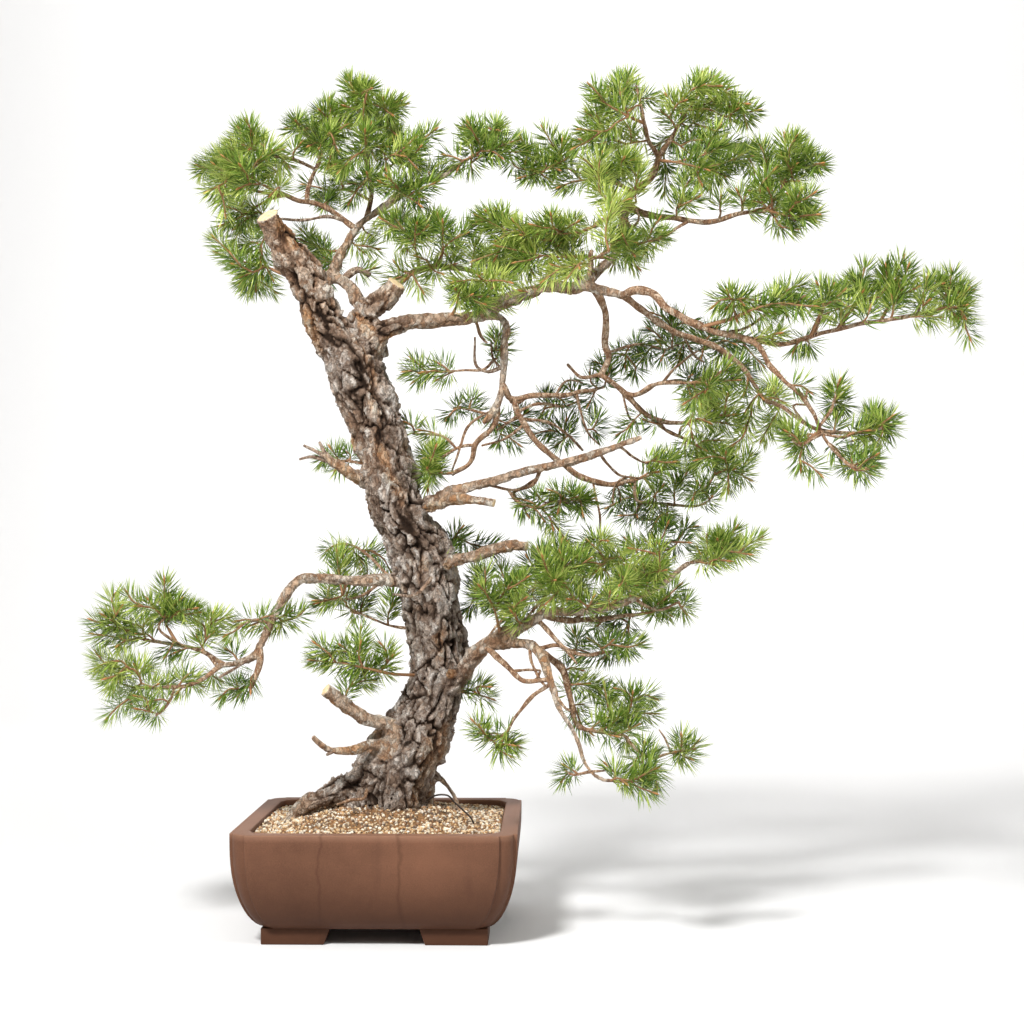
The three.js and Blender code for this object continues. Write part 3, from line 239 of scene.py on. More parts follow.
def mottle_group():
    """Soft uneven patches and fine speckle, used by the stoneware, the grit, the bark and the young shoots."""
    group = bpy.data.node_groups.new("mottle", "ShaderNodeTree")
    face = group.interface
    for label, value in (("Patch Scale", 20.0), ("Speckle Scale", 300.0), ("Speckle", 0.3)):
        face.new_socket(label, in_out="INPUT", socket_type="NodeSocketFloat").default_value = value
    face.new_socket("Mask", in_out="OUTPUT", socket_type="NodeSocketFloat")
    face.new_socket("Height", in_out="OUTPUT", socket_type="NodeSocketFloat")
    nodes, links = group.nodes, group.links
    inside = nodes.new("NodeGroupInput")
    outside = nodes.new("NodeGroupOutput")
    place = nodes.new("ShaderNodeTexCoord")
    patches = nodes.new("ShaderNodeTexNoise")
    patches.inputs["Detail"].default_value = 4
    patches.inputs["Roughness"].default_value = 0.6
    speckle = nodes.new("ShaderNodeTexNoise")
    speckle.inputs["Detail"].default_value = 3
    speckle.inputs["Roughness"].default_value = 0.7
    mix = nodes.new("ShaderNodeMix")
    for noise_node, label in ((patches, "Patch Scale"), (speckle, "Speckle Scale")):
        links.new(place.outputs["Object"], noise_node.inputs["Vector"])
        links.new(inside.outputs[label], noise_node.inputs["Scale"])
    links.new(inside.outputs["Speckle"], mix.inputs["Factor"])
    links.new(patches.outputs["Fac"], mix.inputs["A"])
    links.new(speckle.outputs["Fac"], mix.inputs["B"])
    stretch = nodes.new("ShaderNodeMapRange")
    stretch.inputs["From Min"].default_value = 0.3
    stretch.inputs["From Max"].default_value = 0.7
    links.new(mix.outputs["Result"], stretch.inputs["Value"])
    links.new(stretch.outputs["Result"], outside.inputs["Mask"])
    links.new(speckle.outputs["Fac"], outside.inputs["Height"])
    return group


MOTTLE = mottle_group()


def new_finish(name, roughness):
    """A material with its shader, ready for its own colours."""
    finish = bpy.data.materials.new(name)
    finish.use_nodes = True
    shader = finish.node_tree.nodes["Principled BSDF"]
    shader.inputs["Roughness"].default_value = roughness
    return finish, finish.node_tree.nodes, finish.node_tree.links, shader


def mottle_in(nodes, patch, speckle, share):
    """The mottle group, placed in a material with that material's own values."""
    mottle = nodes.new("ShaderNodeGroup")
    mottle.node_tree = MOTTLE
    mottle.inputs["Patch Scale"].default_value = patch
    mottle.inputs["Speckle Scale"].default_value = speckle
    mottle.inputs["Speckle"].default_value = share
    return mottle


def ramp_of(nodes, links, value, *stops):
    """A colour ramp over value, with stops of (place, colour)."""
    ramp = nodes.new("ShaderNodeValToRGB")
    while len(ramp.color_ramp.elements) < len(stops):
        ramp.color_ramp.elements.new(0.5)
    for element, (place, colour) in zip(ramp.color_ramp.elements, stops):
        element.position = place
        element.color = colour
    links.new(value, ramp.inputs["Fac"])
    return ramp.outputs["Color"]


def blend_of(nodes, links, share, under, over, way="MIX"):
    """One colour laid over another by a share, both colours or sockets."""
    mix = nodes.new("ShaderNodeMix")
    mix.data_type = "RGBA"
    mix.blend_type = way
    for socket, value in (("Factor", share), ("A", under), ("B", over)):
        place = next(s for s in mix.inputs if s.name == socket and s.enabled)
        if isinstance(value, bpy.types.NodeSocket):
            links.new(value, place)
        else:
            place.default_value = value
    return next(s for s in mix.outputs if s.enabled)


def relief_of(nodes, links, shader, height, strength, distance):
    bump = nodes.new("ShaderNodeBump")
    bump.inputs["Strength"].default_value = strength
    bump.inputs["Distance"].default_value = distance
    links.new(height, bump.inputs["Height"])
    links.new(bump.outputs["Normal"], shader.inputs["Normal"])
    return bump


finish, nodes, links, shader = new_finish("unglazed_stoneware", 0.62)
mottle = mottle_in(nodes, 9.0, 900.0, 0.45)
clay = ramp_of(nodes, links, mottle.outputs["Mask"], (0.1, STONEWARE_DARK), (0.55, STONEWARE), (1.0, STONEWARE_RED))
place = nodes.new("ShaderNodeTexCoord")
streak_stretch = nodes.new("ShaderNodeMapping")
streak_stretch.inputs["Scale"].default_value = (26, 26, 1.2)
streaks = nodes.new("ShaderNodeTexNoise")
streaks.inputs["Scale"].default_value = 1.0
streaks.inputs["Detail"].default_value = 3
links.new(place.outputs["Object"], streak_stretch.inputs["Vector"])
links.new(streak_stretch.outputs["Vector"], streaks.inputs["Vector"])
streak_mask = nodes.new("ShaderNodeMapRange")
streak_mask.inputs["From Min"].default_value = 0.56
streak_mask.inputs["From Max"].default_value = 0.72
streak_mask.inputs["To Max"].default_value = 0.42
links.new(streaks.outputs["Fac"], streak_mask.inputs["Value"])
streaked = blend_of(nodes, links, streak_mask.outputs["Result"], clay, (0.055, 0.022, 0.014, 1))
parts = nodes.new("ShaderNodeSeparateXYZ")
links.new(place.outputs["Object"], parts.inputs["Vector"])
# Painted light: the top of the rim and the band just under it are lightened, as if lit from above.
rim_painted_light = nodes.new("ShaderNodeMapRange")
rim_painted_light.inputs["From Min"].default_value = 0.146
rim_painted_light.inputs["From Max"].default_value = 0.157
rim_painted_light.inputs["To Max"].default_value = 0.55
links.new(parts.outputs["Z"], rim_painted_light.inputs["Value"])
rimmed = blend_of(nodes, links, rim_painted_light.outputs["Result"], streaked, (0.31, 0.165, 0.105, 1))
# Darker towards the bottom of the pot.
low_darkening = nodes.new("ShaderNodeMapRange")
low_darkening.inputs["From Min"].default_value = 0.115
low_darkening.inputs["From Max"].default_value = 0.025
low_darkening.inputs["To Max"].default_value = 0.80
links.new(parts.outputs["Z"], low_darkening.inputs["Value"])
footed = blend_of(nodes, links, low_darkening.outputs["Result"], rimmed, (0.058, 0.020, 0.008, 1))
wander = nodes.new("ShaderNodeTexNoise")
wander.inputs["Scale"].default_value = 26
wander.inputs["Detail"].default_value = 3
links.new(place.outputs["Object"], wander.inputs["Vector"])
wavy = nodes.new("ShaderNodeMath")
wavy.operation = "MULTIPLY_ADD"
wavy.inputs[1].default_value = 0.022
links.new(wander.outputs["Fac"], wavy.inputs[0])
links.new(parts.outputs["X"], wavy.inputs[2])
dripped = footed
for drip in DRIPS:
    apart = nodes.new("ShaderNodeMath")
    apart.operation = "SUBTRACT"
    apart.inputs[1].default_value = POT_X + drip + 0.011
    links.new(wavy.outputs[0], apart.inputs[0])
    width = nodes.new("ShaderNodeMath")
    width.operation = "ABSOLUTE"
    links.new(apart.outputs[0], width.inputs[0])
    trace = nodes.new("ShaderNodeMapRange")
    trace.inputs["From Min"].default_value = 0.0036
    trace.inputs["From Max"].default_value = 0.0004
    trace.inputs["To Max"].default_value = 0.38
    links.new(width.outputs[0], trace.inputs["Value"])
    dripped = blend_of(nodes, links, trace.outputs["Result"], dripped, (0.060, 0.022, 0.010, 1))
links.new(dripped, shader.inputs["Base Color"])
shader.inputs["Specular IOR Level"].default_value = 0.22
relief_of(nodes, links, shader, mottle.outputs["Height"], 0.35, 0.0006)
pot.data.materials.clear()
pot.data.materials.append(finish)
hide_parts("pot")
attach(pot, "root")


# Drain screens. Squares of black plastic mesh lie over the drain holes under the grit, cut from a sheet. The
# solids have their shape, so they only get a moulded plastic finish.
finish, nodes, links, shader = new_finish("screen_plastic", 0.55)
mottle = mottle_in(nodes, 60.0, 1200.0, 0.5)
black = ramp_of(nodes, links, mottle.outputs["Mask"], (0.0, (0.012, 0.012, 0.012, 1)), (1.0, (0.03, 0.03, 0.028, 1)))
links.new(black, shader.inputs["Base Color"])
relief_of(nodes, links, shader, mottle.outputs["Height"], 0.3, 0.0003)
for node in ("drain_screen_1", "drain_screen_2"):
    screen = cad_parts[node]
    screen.data.materials.clear()
    screen.data.materials.append(finish)


# Grit. Sieved pumice, fired clay and crushed stone fill the pot and are mounded to the trunk. The bed is a
# grid with its skirt drawn down, and thousands of separate grains are strewn over it, each one a small
# many-sided stone. Bark crumbs and dead needles have gathered near the trunk.
SOIL_HALF = RIM_HALF - RIM_WIDTH - 0.0006
SOIL_CORNER = 0.026
GRAINS = 6400
GRAIN_TINTS = [
    (0.80, 0.62, 0.40),
    (0.90, 0.80, 0.62),
    (0.62, 0.40, 0.20),
    (0.52, 0.29, 0.12),
    (0.40, 0.20, 0.09),
    (0.55, 0.46, 0.36),
    (0.95, 0.88, 0.74),
    (0.16, 0.10, 0.06),
    (0.70, 0.52, 0.32),
]


def grit_height(x, y):
    """The bed's height over the floor, at a place measured from the pot's middle."""
    out = (x * x + y * y) / (2 * 0.085**2)
    lumps = 0.0022 * noise.noise(Vector((x * 38, y * 38, 3.1)))
    return 0.1455 + 0.037 * math.exp(-out) + lumps


def in_grit(x, y, margin):
    if max(abs(x), abs(y)) > SOIL_HALF - margin:
        return False
    return abs(x) + abs(y) < 2 * SOIL_HALF - SOIL_CORNER - 1.5 * margin


bpy.ops.object.select_all(action="DESELECT")
bpy.ops.mesh.primitive_grid_add(
    x_subdivisions=96, y_subdivisions=96, size=2 * SOIL_HALF, location=(POT_X, POT_Y, 0)
)
bed = start_piece("grit_bed")
settle(bed)
bpy.ops.object.mode_set(mode="EDIT")
for a, b in ((1, 1), (1, -1), (-1, 1), (-1, -1)):
    bpy.ops.mesh.select_all(action="SELECT")
    reach = SOIL_HALF - SOIL_CORNER / 2
    bpy.ops.mesh.bisect(
        plane_co=(POT_X + a * reach, POT_Y + b * reach, 0), plane_no=(a, b, 0), clear_outer=True
    )
bpy.ops.object.mode_set(mode="OBJECT")
for corner in bed.data.vertices:
    corner.co.z = grit_height(corner.co.x - POT_X, corner.co.y - POT_Y)
bpy.ops.object.mode_set(mode="EDIT")
bpy.ops.mesh.select_mode(type="EDGE")
bpy.ops.mesh.select_all(action="DESELECT")
bpy.ops.mesh.select_non_manifold()
bpy.ops.mesh.extrude_region_move(TRANSFORM_OT_translate={"value": (0, 0, -0.03)})
bpy.ops.mesh.edge_face_add()
bpy.ops.mesh.select_all(action="SELECT")
bpy.ops.mesh.normals_make_consistent(inside=False)
bpy.ops.object.mode_set(mode="OBJECT")
bpy.ops.object.shade_smooth()

bpy.ops.object.select_all(action="DESELECT")
bpy.ops.mesh.primitive_uv_sphere_add(segments=5, ring_count=3, radius=1, location=(0, 0, 0))
stone = start_piece("grain")
bpy.ops.object.mode_set(mode="EDIT")
bpy.ops.mesh.select_all(action="SELECT")
bpy.ops.transform.vertex_random(offset=0.28, seed=4)
bpy.ops.mesh.quads_convert_to_tris()
bpy.ops.object.mode_set(mode="OBJECT")
stone_corners = np.array([v.co for v in stone.data.vertices])
stone_faces = np.array([f.vertices for f in stone.data.polygons])
bpy.data.objects.remove(stone)


def loose_mesh(name, corners, faces, tints=None, tint_name="tint"):
    """A piece from corner and face arrays, with a colour for each corner if there are any."""
    mesh = bpy.data.meshes.new(name)
    mesh.from_pydata(corners, [], faces)
    if tints is not None:
        layer = mesh.color_attributes.new(tint_name, "FLOAT_COLOR", "POINT")
        layer.data.foreach_set("color", np.asarray(tints, np.float32).ravel())
    piece = bpy.data.objects.new(name, mesh)
    bpy.context.scene.collection.objects.link(piece)
    return piece


chance = random.Random(11)
corners, faces, tints = [], [], []
while len(corners) < GRAINS:
    x, y = (chance.uniform(-SOIL_HALF, SOIL_HALF) for _ in range(2))
    size = chance.choice((0.0015, 0.0019, 0.0022, 0.0025, 0.0030))
    if not in_grit(x, y, size):
        continue
    near_trunk = math.exp(-((x - 0.01) ** 2 + y * y) / (2 * 0.07**2))
    tint = chance.choice(GRAIN_TINTS)
    if chance.random() < 0.55 * near_trunk:
        tint = chance.choice(((0.16, 0.09, 0.05), (0.27, 0.14, 0.07), (0.10, 0.06, 0.04)))
    shade = chance.uniform(0.75, 1.1)
    turn = Matrix.Rotation(chance.uniform(0, 6.3), 3, Vector((chance.gauss(0, 1), chance.gauss(0, 1), 1)))
    turn = np.array(turn) * np.array([1, chance.uniform(0.7, 1), chance.uniform(0.6, 0.9)])
    spot = np.array([POT_X + x, POT_Y + y, grit_height(x, y) + 0.45 * size])
    faces.append(stone_faces + len(stone_corners) * len(corners))
    corners.append(size * stone_corners @ turn.T + spot)
    tints.append(np.tile([*(shade * c for c in tint), 1], (len(stone_corners), 1)))
grains = loose_mesh("grit_grains", np.concatenate(corners), np.concatenate(faces), np.concatenate(tints))

finish, nodes, links, shader = new_finish("grit_stone", 0.9)
mottle = mottle_in(nodes, 500.0, 2500.0, 0.4)
tint = nodes.new("ShaderNodeAttribute")
tint.attribute_name = "tint"
dusty = blend_of(nodes, links, mottle.outputs["Mask"], tint.outputs["Color"], (0.62, 0.52, 0.38, 1))
dust = nodes.new("ShaderNodeMath")
dust.operation = "MULTIPLY"
dust.inputs[1].default_value = 0.35
links.new(mottle.outputs["Mask"], dust.inputs[0])
dusted = blend_of(nodes, links, dust.outputs[0], tint.outputs["Color"], dusty)
links.new(dusted, shader.inputs["Base Color"])
relief_of(nodes, links, shader, mottle.outputs["Height"], 0.5, 0.0005)
grains.data.materials.append(finish)

finish, nodes, links, shader = new_finish("grit_bed", 0.95)
mottle = mottle_in(nodes, 70.0, 420.0, 0.6)
under = ramp_of(
    nodes, links, mottle.outputs["Mask"], (0.0, (0.050, 0.024, 0.010, 1)), (0.5, (0.24, 0.12, 0.045, 1)),
    (1.0, (0.44, 0.25, 0.11, 1)),
)
links.new(under, shader.inputs["Base Color"])
relief_of(nodes, links, shader, mottle.outputs["Height"], 0.8, 0.002)
bed.data.materials.append(finish)
for piece in (bed, grains):
    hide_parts("soil")
    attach(piece, "root")


# Routes. The wood was measured as it is seen from the front: x to the right of the pot's middle and z above
# the bench, both on the upright plane through that middle, and y behind that plane, all in millimetres. A
# depth grows towards the ends of the boughs, and a point behind the plane is seen in the same place.
VIEW_DISTANCE = 2724
VIEW_RIGHT = 245
VIEW_HEIGHT = 544


def deeper(point):
    return point[2] * min(1, abs(point[0] - 20) / 400)


def seen(point, extra=None):
    depth = point[2] + (deeper(point) if extra is None else extra)
    spread = 1 + depth / VIEW_DISTANCE
    right = VIEW_RIGHT + (point[0] - VIEW_RIGHT) * spread
    up = VIEW_HEIGHT + (point[1] - VIEW_HEIGHT) * spread
    return np.array([POT_X + right / 1000, POT_Y + depth / 1000, up / 1000])


def smooth_route(points, step):
    """Even points along a smooth curve through the route, and how far along the route's points each lies."""
    points = np.asarray(points, float)
    ends = np.vstack([2 * points[0] - points[1], points, 2 * points[-1] - points[-2]])
    knots = np.maximum(np.linalg.norm(np.diff(ends, axis=0), axis=1), 1e-9) ** 0.5
    fine, share = [], []
    for i in range(1, len(ends) - 2):
        p0, p1, p2, p3 = ends[i - 1 : i + 3]
        d0, d1, d2 = knots[i - 1 : i + 2]
        m1 = ((p1 - p0) / d0 - (p2 - p0) / (d0 + d1) + (p2 - p1) / d1) * d1
        m2 = ((p2 - p1) / d1 - (p3 - p1) / (d1 + d2) + (p3 - p2) / d2) * d1
        t = np.linspace(0, 1, 17)[:, None][: 16 if i < len(ends) - 3 else 17]
        fine.append(
            (2 * t**3 - 3 * t**2 + 1) * p1 + (t**3 - 2 * t**2 + t) * m1
            + (3 * t**2 - 2 * t**3) * p2 + (t**3 - t**2) * m2
        )
        share.append(i - 1 + t[:, 0])
    fine, share = np.vstack(fine), np.concatenate(share)
    run = np.concatenate([[0], np.cumsum(np.linalg.norm(np.diff(fine, axis=0), axis=1))])
    wanted = np.linspace(0, run[-1], max(3, round(run[-1] / step) + 1))
    even = np.stack([np.interp(wanted, run, fine[:, k]) for k in range(3)], axis=1)
    return even, np.interp(wanted, run, share) / (len(points) - 1)


def turned_along(line):
    """Along, side and up directions at each point of a line, turning as little as they can."""
    along = np.gradient(line, axis=0)
    along /= np.linalg.norm(along, axis=1)[:, None]
    side = np.cross(along[0], [0.3, 0.2, 1.0])
    side /= np.linalg.norm(side)
    sides = []
    for way in along:
        side = side - way * side.dot(way)
        side /= np.linalg.norm(side)
        sides.append(side)
    sides = np.array(sides)
    return along, sides, np.cross(along, sides)


def limb_shell(line, radii, count):
    """A closed limb: rings of corners round the line, and its faces."""
    along, side, up = turned_along(line)
    angle = 2 * np.pi * np.arange(count) / count
    ring = np.cos(angle)[None, :, None] * side[:, None] + np.sin(angle)[None, :, None] * up[:, None]
    corners = (line[:, None] + radii[:, None, None] * ring).reshape(-1, 3)
    base = (np.arange(len(line) - 1) * count)[:, None]
    j = np.arange(count)
    k = (j + 1) % count
    quads = np.stack([base + j, base + k, base + k + count, base + j + count], axis=2).reshape(-1, 4)
    last = (len(line) - 1) * count
    faces = quads.tolist()
    faces.append(list(range(count - 1, -1, -1)))
    faces.append(list(range(last, last + count)))
    return corners, faces


# Trunk and thick boughs. One old scots pine: plates of grey bark parted by fissures, flaking to orange
# higher up and round the stubs, surface roots at its foot and sawn or broken stubs. The limbs are fused into
# one skin, and the plates are then raised from it. Shade is painted into the bark's colour: it darkens where the bark
# lies low, in fissures and on lower ledges.
TRUNK = [
    (-14, 96, 0, 50), (-6, 140, -2, 58), (4, 184, -4, 66), (19, 226, -4, 61), (46, 277, -2, 54),
    (64, 312, 0, 46), (73, 345, 4, 44), (76, 395, 8, 43), (72, 444, 8, 44), (63, 496, 4, 48),
    (54, 529, 0, 46), (42, 563, -4, 44), (22, 597, -6, 42), (12, 630, -6, 42), (6, 655, -4, 43),
    (0, 683, 0, 41), (-10, 717, 2, 42), (-21, 749, 2, 43), (-35, 783, 0, 45), (-48, 818, -2, 46),
    (-74, 852, -6, 37), (-92, 882, -10, 30), (-106, 917, -14, 30), (-120, 951, -20, 28),
    (-144, 985, -28, 25), (-162, 1016, -36, 20), (-174, 1038, -44, 16),
]
THICK = {
    "root_left": [(34, 24, 16, 11, 8, 6), (-6, 206, -14), (-48, 200, -24), (-88, 183, -28), (-120, 168, -28),
                  (-140, 146, -28), (-146, 122, -28)],
    "root_right": [(14, 12, 7, 5, 4, 3.6, 3.4), (34, 240, 0), (56, 226, 4), (76, 215, 8), (91, 200, 8), (103, 182, 8),
                   (110, 160, 8), (112, 136, 8)],
    "root_back": [(32, 20, 9), (6, 206, 16), (20, 178, 62), (26, 140, 84)],
    "root_back_left": [(30, 18, 9), (-10, 204, 16), (-50, 178, 50), (-66, 140, 62)],
    "stub_low_left": [(14, 11, 10, 10, 10, 9.5), (30, 282, -20), (-6, 291, -44), (-26, 297, -52),
                      (-53, 314, -60), (-73, 330, -66), (-87, 340, -70)],
    "snag_low_left": [(10, 7.5, 7, 6.5, 6, 4.6), (10, 262, -30), (-19, 260, -52), (-40, 253, -60),
                      (-62, 250, -66), (-84, 253, -70), (-106, 271, -76)],
    "broken_left": [(13, 9.5, 8.5, 7.5, 6), (-16, 638, -8), (-43, 652, -26), (-63, 666, -34),
                    (-82, 677, -38), (-92, 688, -40)],
    "stub_mid_right": [(14, 11, 10, 9, 8.5, 7.5), (80, 522, -20), (105, 529, -38), (132, 535, -46),
                       (165, 546, -54), (196, 551, -60), (209, 549, -62)],
    "leader_right": [(34, 30, 21, 18, 17, 15), (-36, 800, 0), (-26, 846, 2), (-36, 878, 6), (-20, 896, 4),
                     (0, 913, 0), (17, 937, -8)],
    "leader_knob": [(12, 11, 10, 8), (-35, 900, 4), (-48, 924, 14), (-60, 937, 22), (-75, 945, 28)],
    "bough_left_crown": [(9, 8.5, 10, 7, 6.5, 6.2, 6, 5.5, 5, 4, 3), (-98, 912, 6), (-86, 936, 20),
                         (-73, 962, 28), (-60, 988, 32), (-41, 1020, 34), (-10, 1043, 34), (22, 1067, 32),
                         (54, 1086, 28), (83, 1092, 24), (104, 1108, 20), (128, 1123, 16)],
    "bough_b": [(27, 20, 15, 13, 12, 11, 10, 9, 8), (-28, 836, 0), (-4, 864, -10), (22, 875, -14),
                (51, 880, -16), (81, 883, -16), (110, 884, -14), (132, 886, -12), (151, 889, -10),
                (166, 888, -8)],
    "b_down": [(8, 7, 6.4, 6, 6, 5.6, 4.5), (160, 889, -8), (177, 876, -8), (175, 840, -6), (174, 811, -4),
               (171, 775, -4), (161, 748, -2), (143, 728, -2)],
    "bough_c": [(11, 11, 11, 10.5, 10, 9), (136, 886, -12), (152, 897, -16), (198, 917, -24),
                (243, 931, -26), (272, 927, -25), (300, 940, -20)],
    "c_up": [(9, 8.5, 8, 7.5, 7), (296, 936, -21), (315, 957, -10), (336, 976, 4), (347, 1010, 18),
             (356, 1050, 24)],
    "bough_e": [(9, 7.5, 6.4, 6), (290, 934, -22), (308, 929, -28), (332, 922, -36), (353, 916, -40)],
    "bough_j": [(24, 16, 13, 11, 9, 7.5, 6.8, 6, 5.4, 4.6), (34, 592, -8), (58, 608, -26), (86, 621, -36),
                (113, 633, -42), (154, 644, -46), (198, 657, -48), (241, 667, -48), (285, 677, -46),
                (329, 692, -42), (376, 709, -36)],
    "j_stub": [(11, 9, 7.6, 6.6), (80, 615, -36), (110, 619, -54), (134, 617, -60), (161, 613, -64)],
    "bough_r": [(24, 17, 13, 11, 8, 6.6, 6, 5.2, 4.4, 3.8, 3), (84, 338, -10), (111, 361, -34),
                (140, 397, -50), (199, 431, -62), (240, 452, -64), (270, 453, -64), (300, 455, -62),
                (344, 465, -56), (400, 489, -42), (444, 524, -28), (472, 529, -20)],
    "r_two": [(9, 8.5, 7.5, 5.6, 4.4, 3.6, 3.2, 2.8, 2.4), (148, 403, -54), (183, 407, -66), (222, 401, -79),
              (243, 351, -88), (256, 313, -92), (278, 276, -96), (297, 226, -96), (316, 210, -94),
              (340, 206, -90)],
    "bough_l": [(13, 9, 8, 8, 8, 7.5, 7, 6.6, 6, 4.4), (34, 497, -8), (6, 500, -24), (-43, 499, -40),
                (-104, 503, -54), (-126, 500, -56), (-148, 473, -59), (-175, 420, -60), (-192, 389, -60),
                (-214, 379, -58), (-246, 374, -56)],
}
VOXEL = 0.0027

axis_spots = []  # (place, radius) along all wood, for what grows from it


def limb_of(route, radii, step, snap=False):
    """A limb's middle line and radii, in metres. A snapped limb starts inside the wood that carries it."""
    points = [seen(p) for p in route]
    if snap and axis_spots:
        points[0] = min((s for s, _ in axis_spots), key=lambda s: float(np.sum((s - points[0]) ** 2)))
    line, share = smooth_route(points, step)
    thick = np.interp(share, np.linspace(0, 1, len(radii)), radii) / 1000
    return line, thick


def joined(shells):
    """Several closed shells as one list of corners and one of faces."""
    corners, faces, count = [], [], 0
    for ring, sides in shells:
        corners.append(ring)
        faces.extend([[i + count for i in face] for face in sides])
        count += len(ring)
    return np.concatenate(corners), faces


grain = []  # for each axis spot: the ways along and across the limb, and its place along it


def grow(line, thick):
    """Notes a limb's axis, for what grows from it and for the run of its bark."""
    along, side, up = turned_along(line)
    run = np.concatenate([[0], np.cumsum(np.linalg.norm(np.diff(line, axis=0), axis=1))]) + 3.7 * len(grain)
    for i, spot in enumerate(line):
        axis_spots.append((spot, float(thick[i])))
        grain.append((along[i], side[i], up[i], run[i]))


shells = []
line, thick = limb_of([p[:3] for p in TRUNK], [p[3] for p in TRUNK], 0.006)
flare = np.clip(1 - np.arange(len(line)) * 0.006 / 0.15, 0, 1)
shell = limb_shell(line, thick, 64)
around = 2 * np.pi * np.arange(64) / 64
ridges = np.cos(5 * around + 0.8) + 0.6 * np.cos(2 * around - 0.5)
push = 0.009 * flare[:, None] * ridges
centre = np.repeat(line, 64, axis=0)
outwards = shell[0] - centre
outwards /= np.linalg.norm(outwards, axis=1)[:, None]
shells.append((shell[0] + outwards * push.reshape(-1, 1), shell[1]))
grow(line, thick)
for name, (radii, *route) in THICK.items():
    line, thick = limb_of(route, radii, 0.005)
    shells.append(limb_shell(line, thick, 24 if max(radii) > 12 else 16))
    grow(line, thick)
wood = loose_mesh("trunk_wood", *joined(shells))
apply_modifier(wood, "REMESH", mode="VOXEL", voxel_size=VOXEL)
bpy.ops.object.select_all(action="DESELECT")

tree = kdtree.KDTree(len(axis_spots))
for i, (spot, _) in enumerate(axis_spots):
    tree.insert(spot, i)
tree.balance()


def step_up(low, high, value):
    t = min(1.0, max(0.0, (value - low) / (high - low)))
    return t * t * (3 - 2 * t)


def terrace(value, steps):
    """A smooth value cut into ledges, as layers of bark flake off."""
    whole = math.floor(value * steps)
    return (whole + step_up(0.30, 0.62, value * steps - whole)) / steps


STUB_ENDS = [(-87, 340, -70), (-106, 271, -76), (209, 549, -62), (161, 613, -64), (17, 937, -8),
             (-174, 1038, -44), (-92, 688, -40), (-75, 945, 28)]
stub_places = [Vector(seen(p)) for p in STUB_ENDS]
# Sawn ends: the middle of the cut, a place before it, and the cut's radius.
CUTS = [((-174, 1038, -44), (-162, 1016, -36), 16), ((17, 937, -8), (0, 913, 0), 15),
        ((-87, 340, -70), (-73, 330, -66), 9.5), ((209, 549, -62), (196, 551, -60), 8),
        ((161, 613, -64), (134, 617, -60), 7), ((376, 709, -36), (329, 692, -42), 5.5),
        ((-75, 945, 28), (-60, 937, 22), 7)]
corners = np.array([v.co for v in wood.data.vertices])
cut_ends = []
for end, before, radius in CUTS:
    tip = seen(end)
    cut_ends.append((Vector(tip), Vector(tip - seen(before)).normalized(), radius / 1000))


# Knots healed over on the trunk's front: each one's place and radius.
KNOTS = [(88, 516, 4), (92, 365, 5)]


def front_of(x, z):
    """The place on the trunk's front skin that shows at x and z."""
    spot = seen((x, z, -40))
    close = np.hypot(corners[:, 0] - spot[0], corners[:, 2] - spot[2]) < 0.005
    near = corners[close]
    return near[np.argmin(near[:, 1])]


def on_cut(place, facing):
    """Whether a place on the wood's skin lies on a sawn end."""
    for tip, way, radius in cut_ends:
        off = place - tip
        if off.length < 1.5 * radius and off.dot(way) > -0.0035 and facing.dot(way) > 0.45:
            return True
    return False


knot_places = [(Vector(front_of(x, z)), radius / 1000) for x, z, radius in KNOTS]


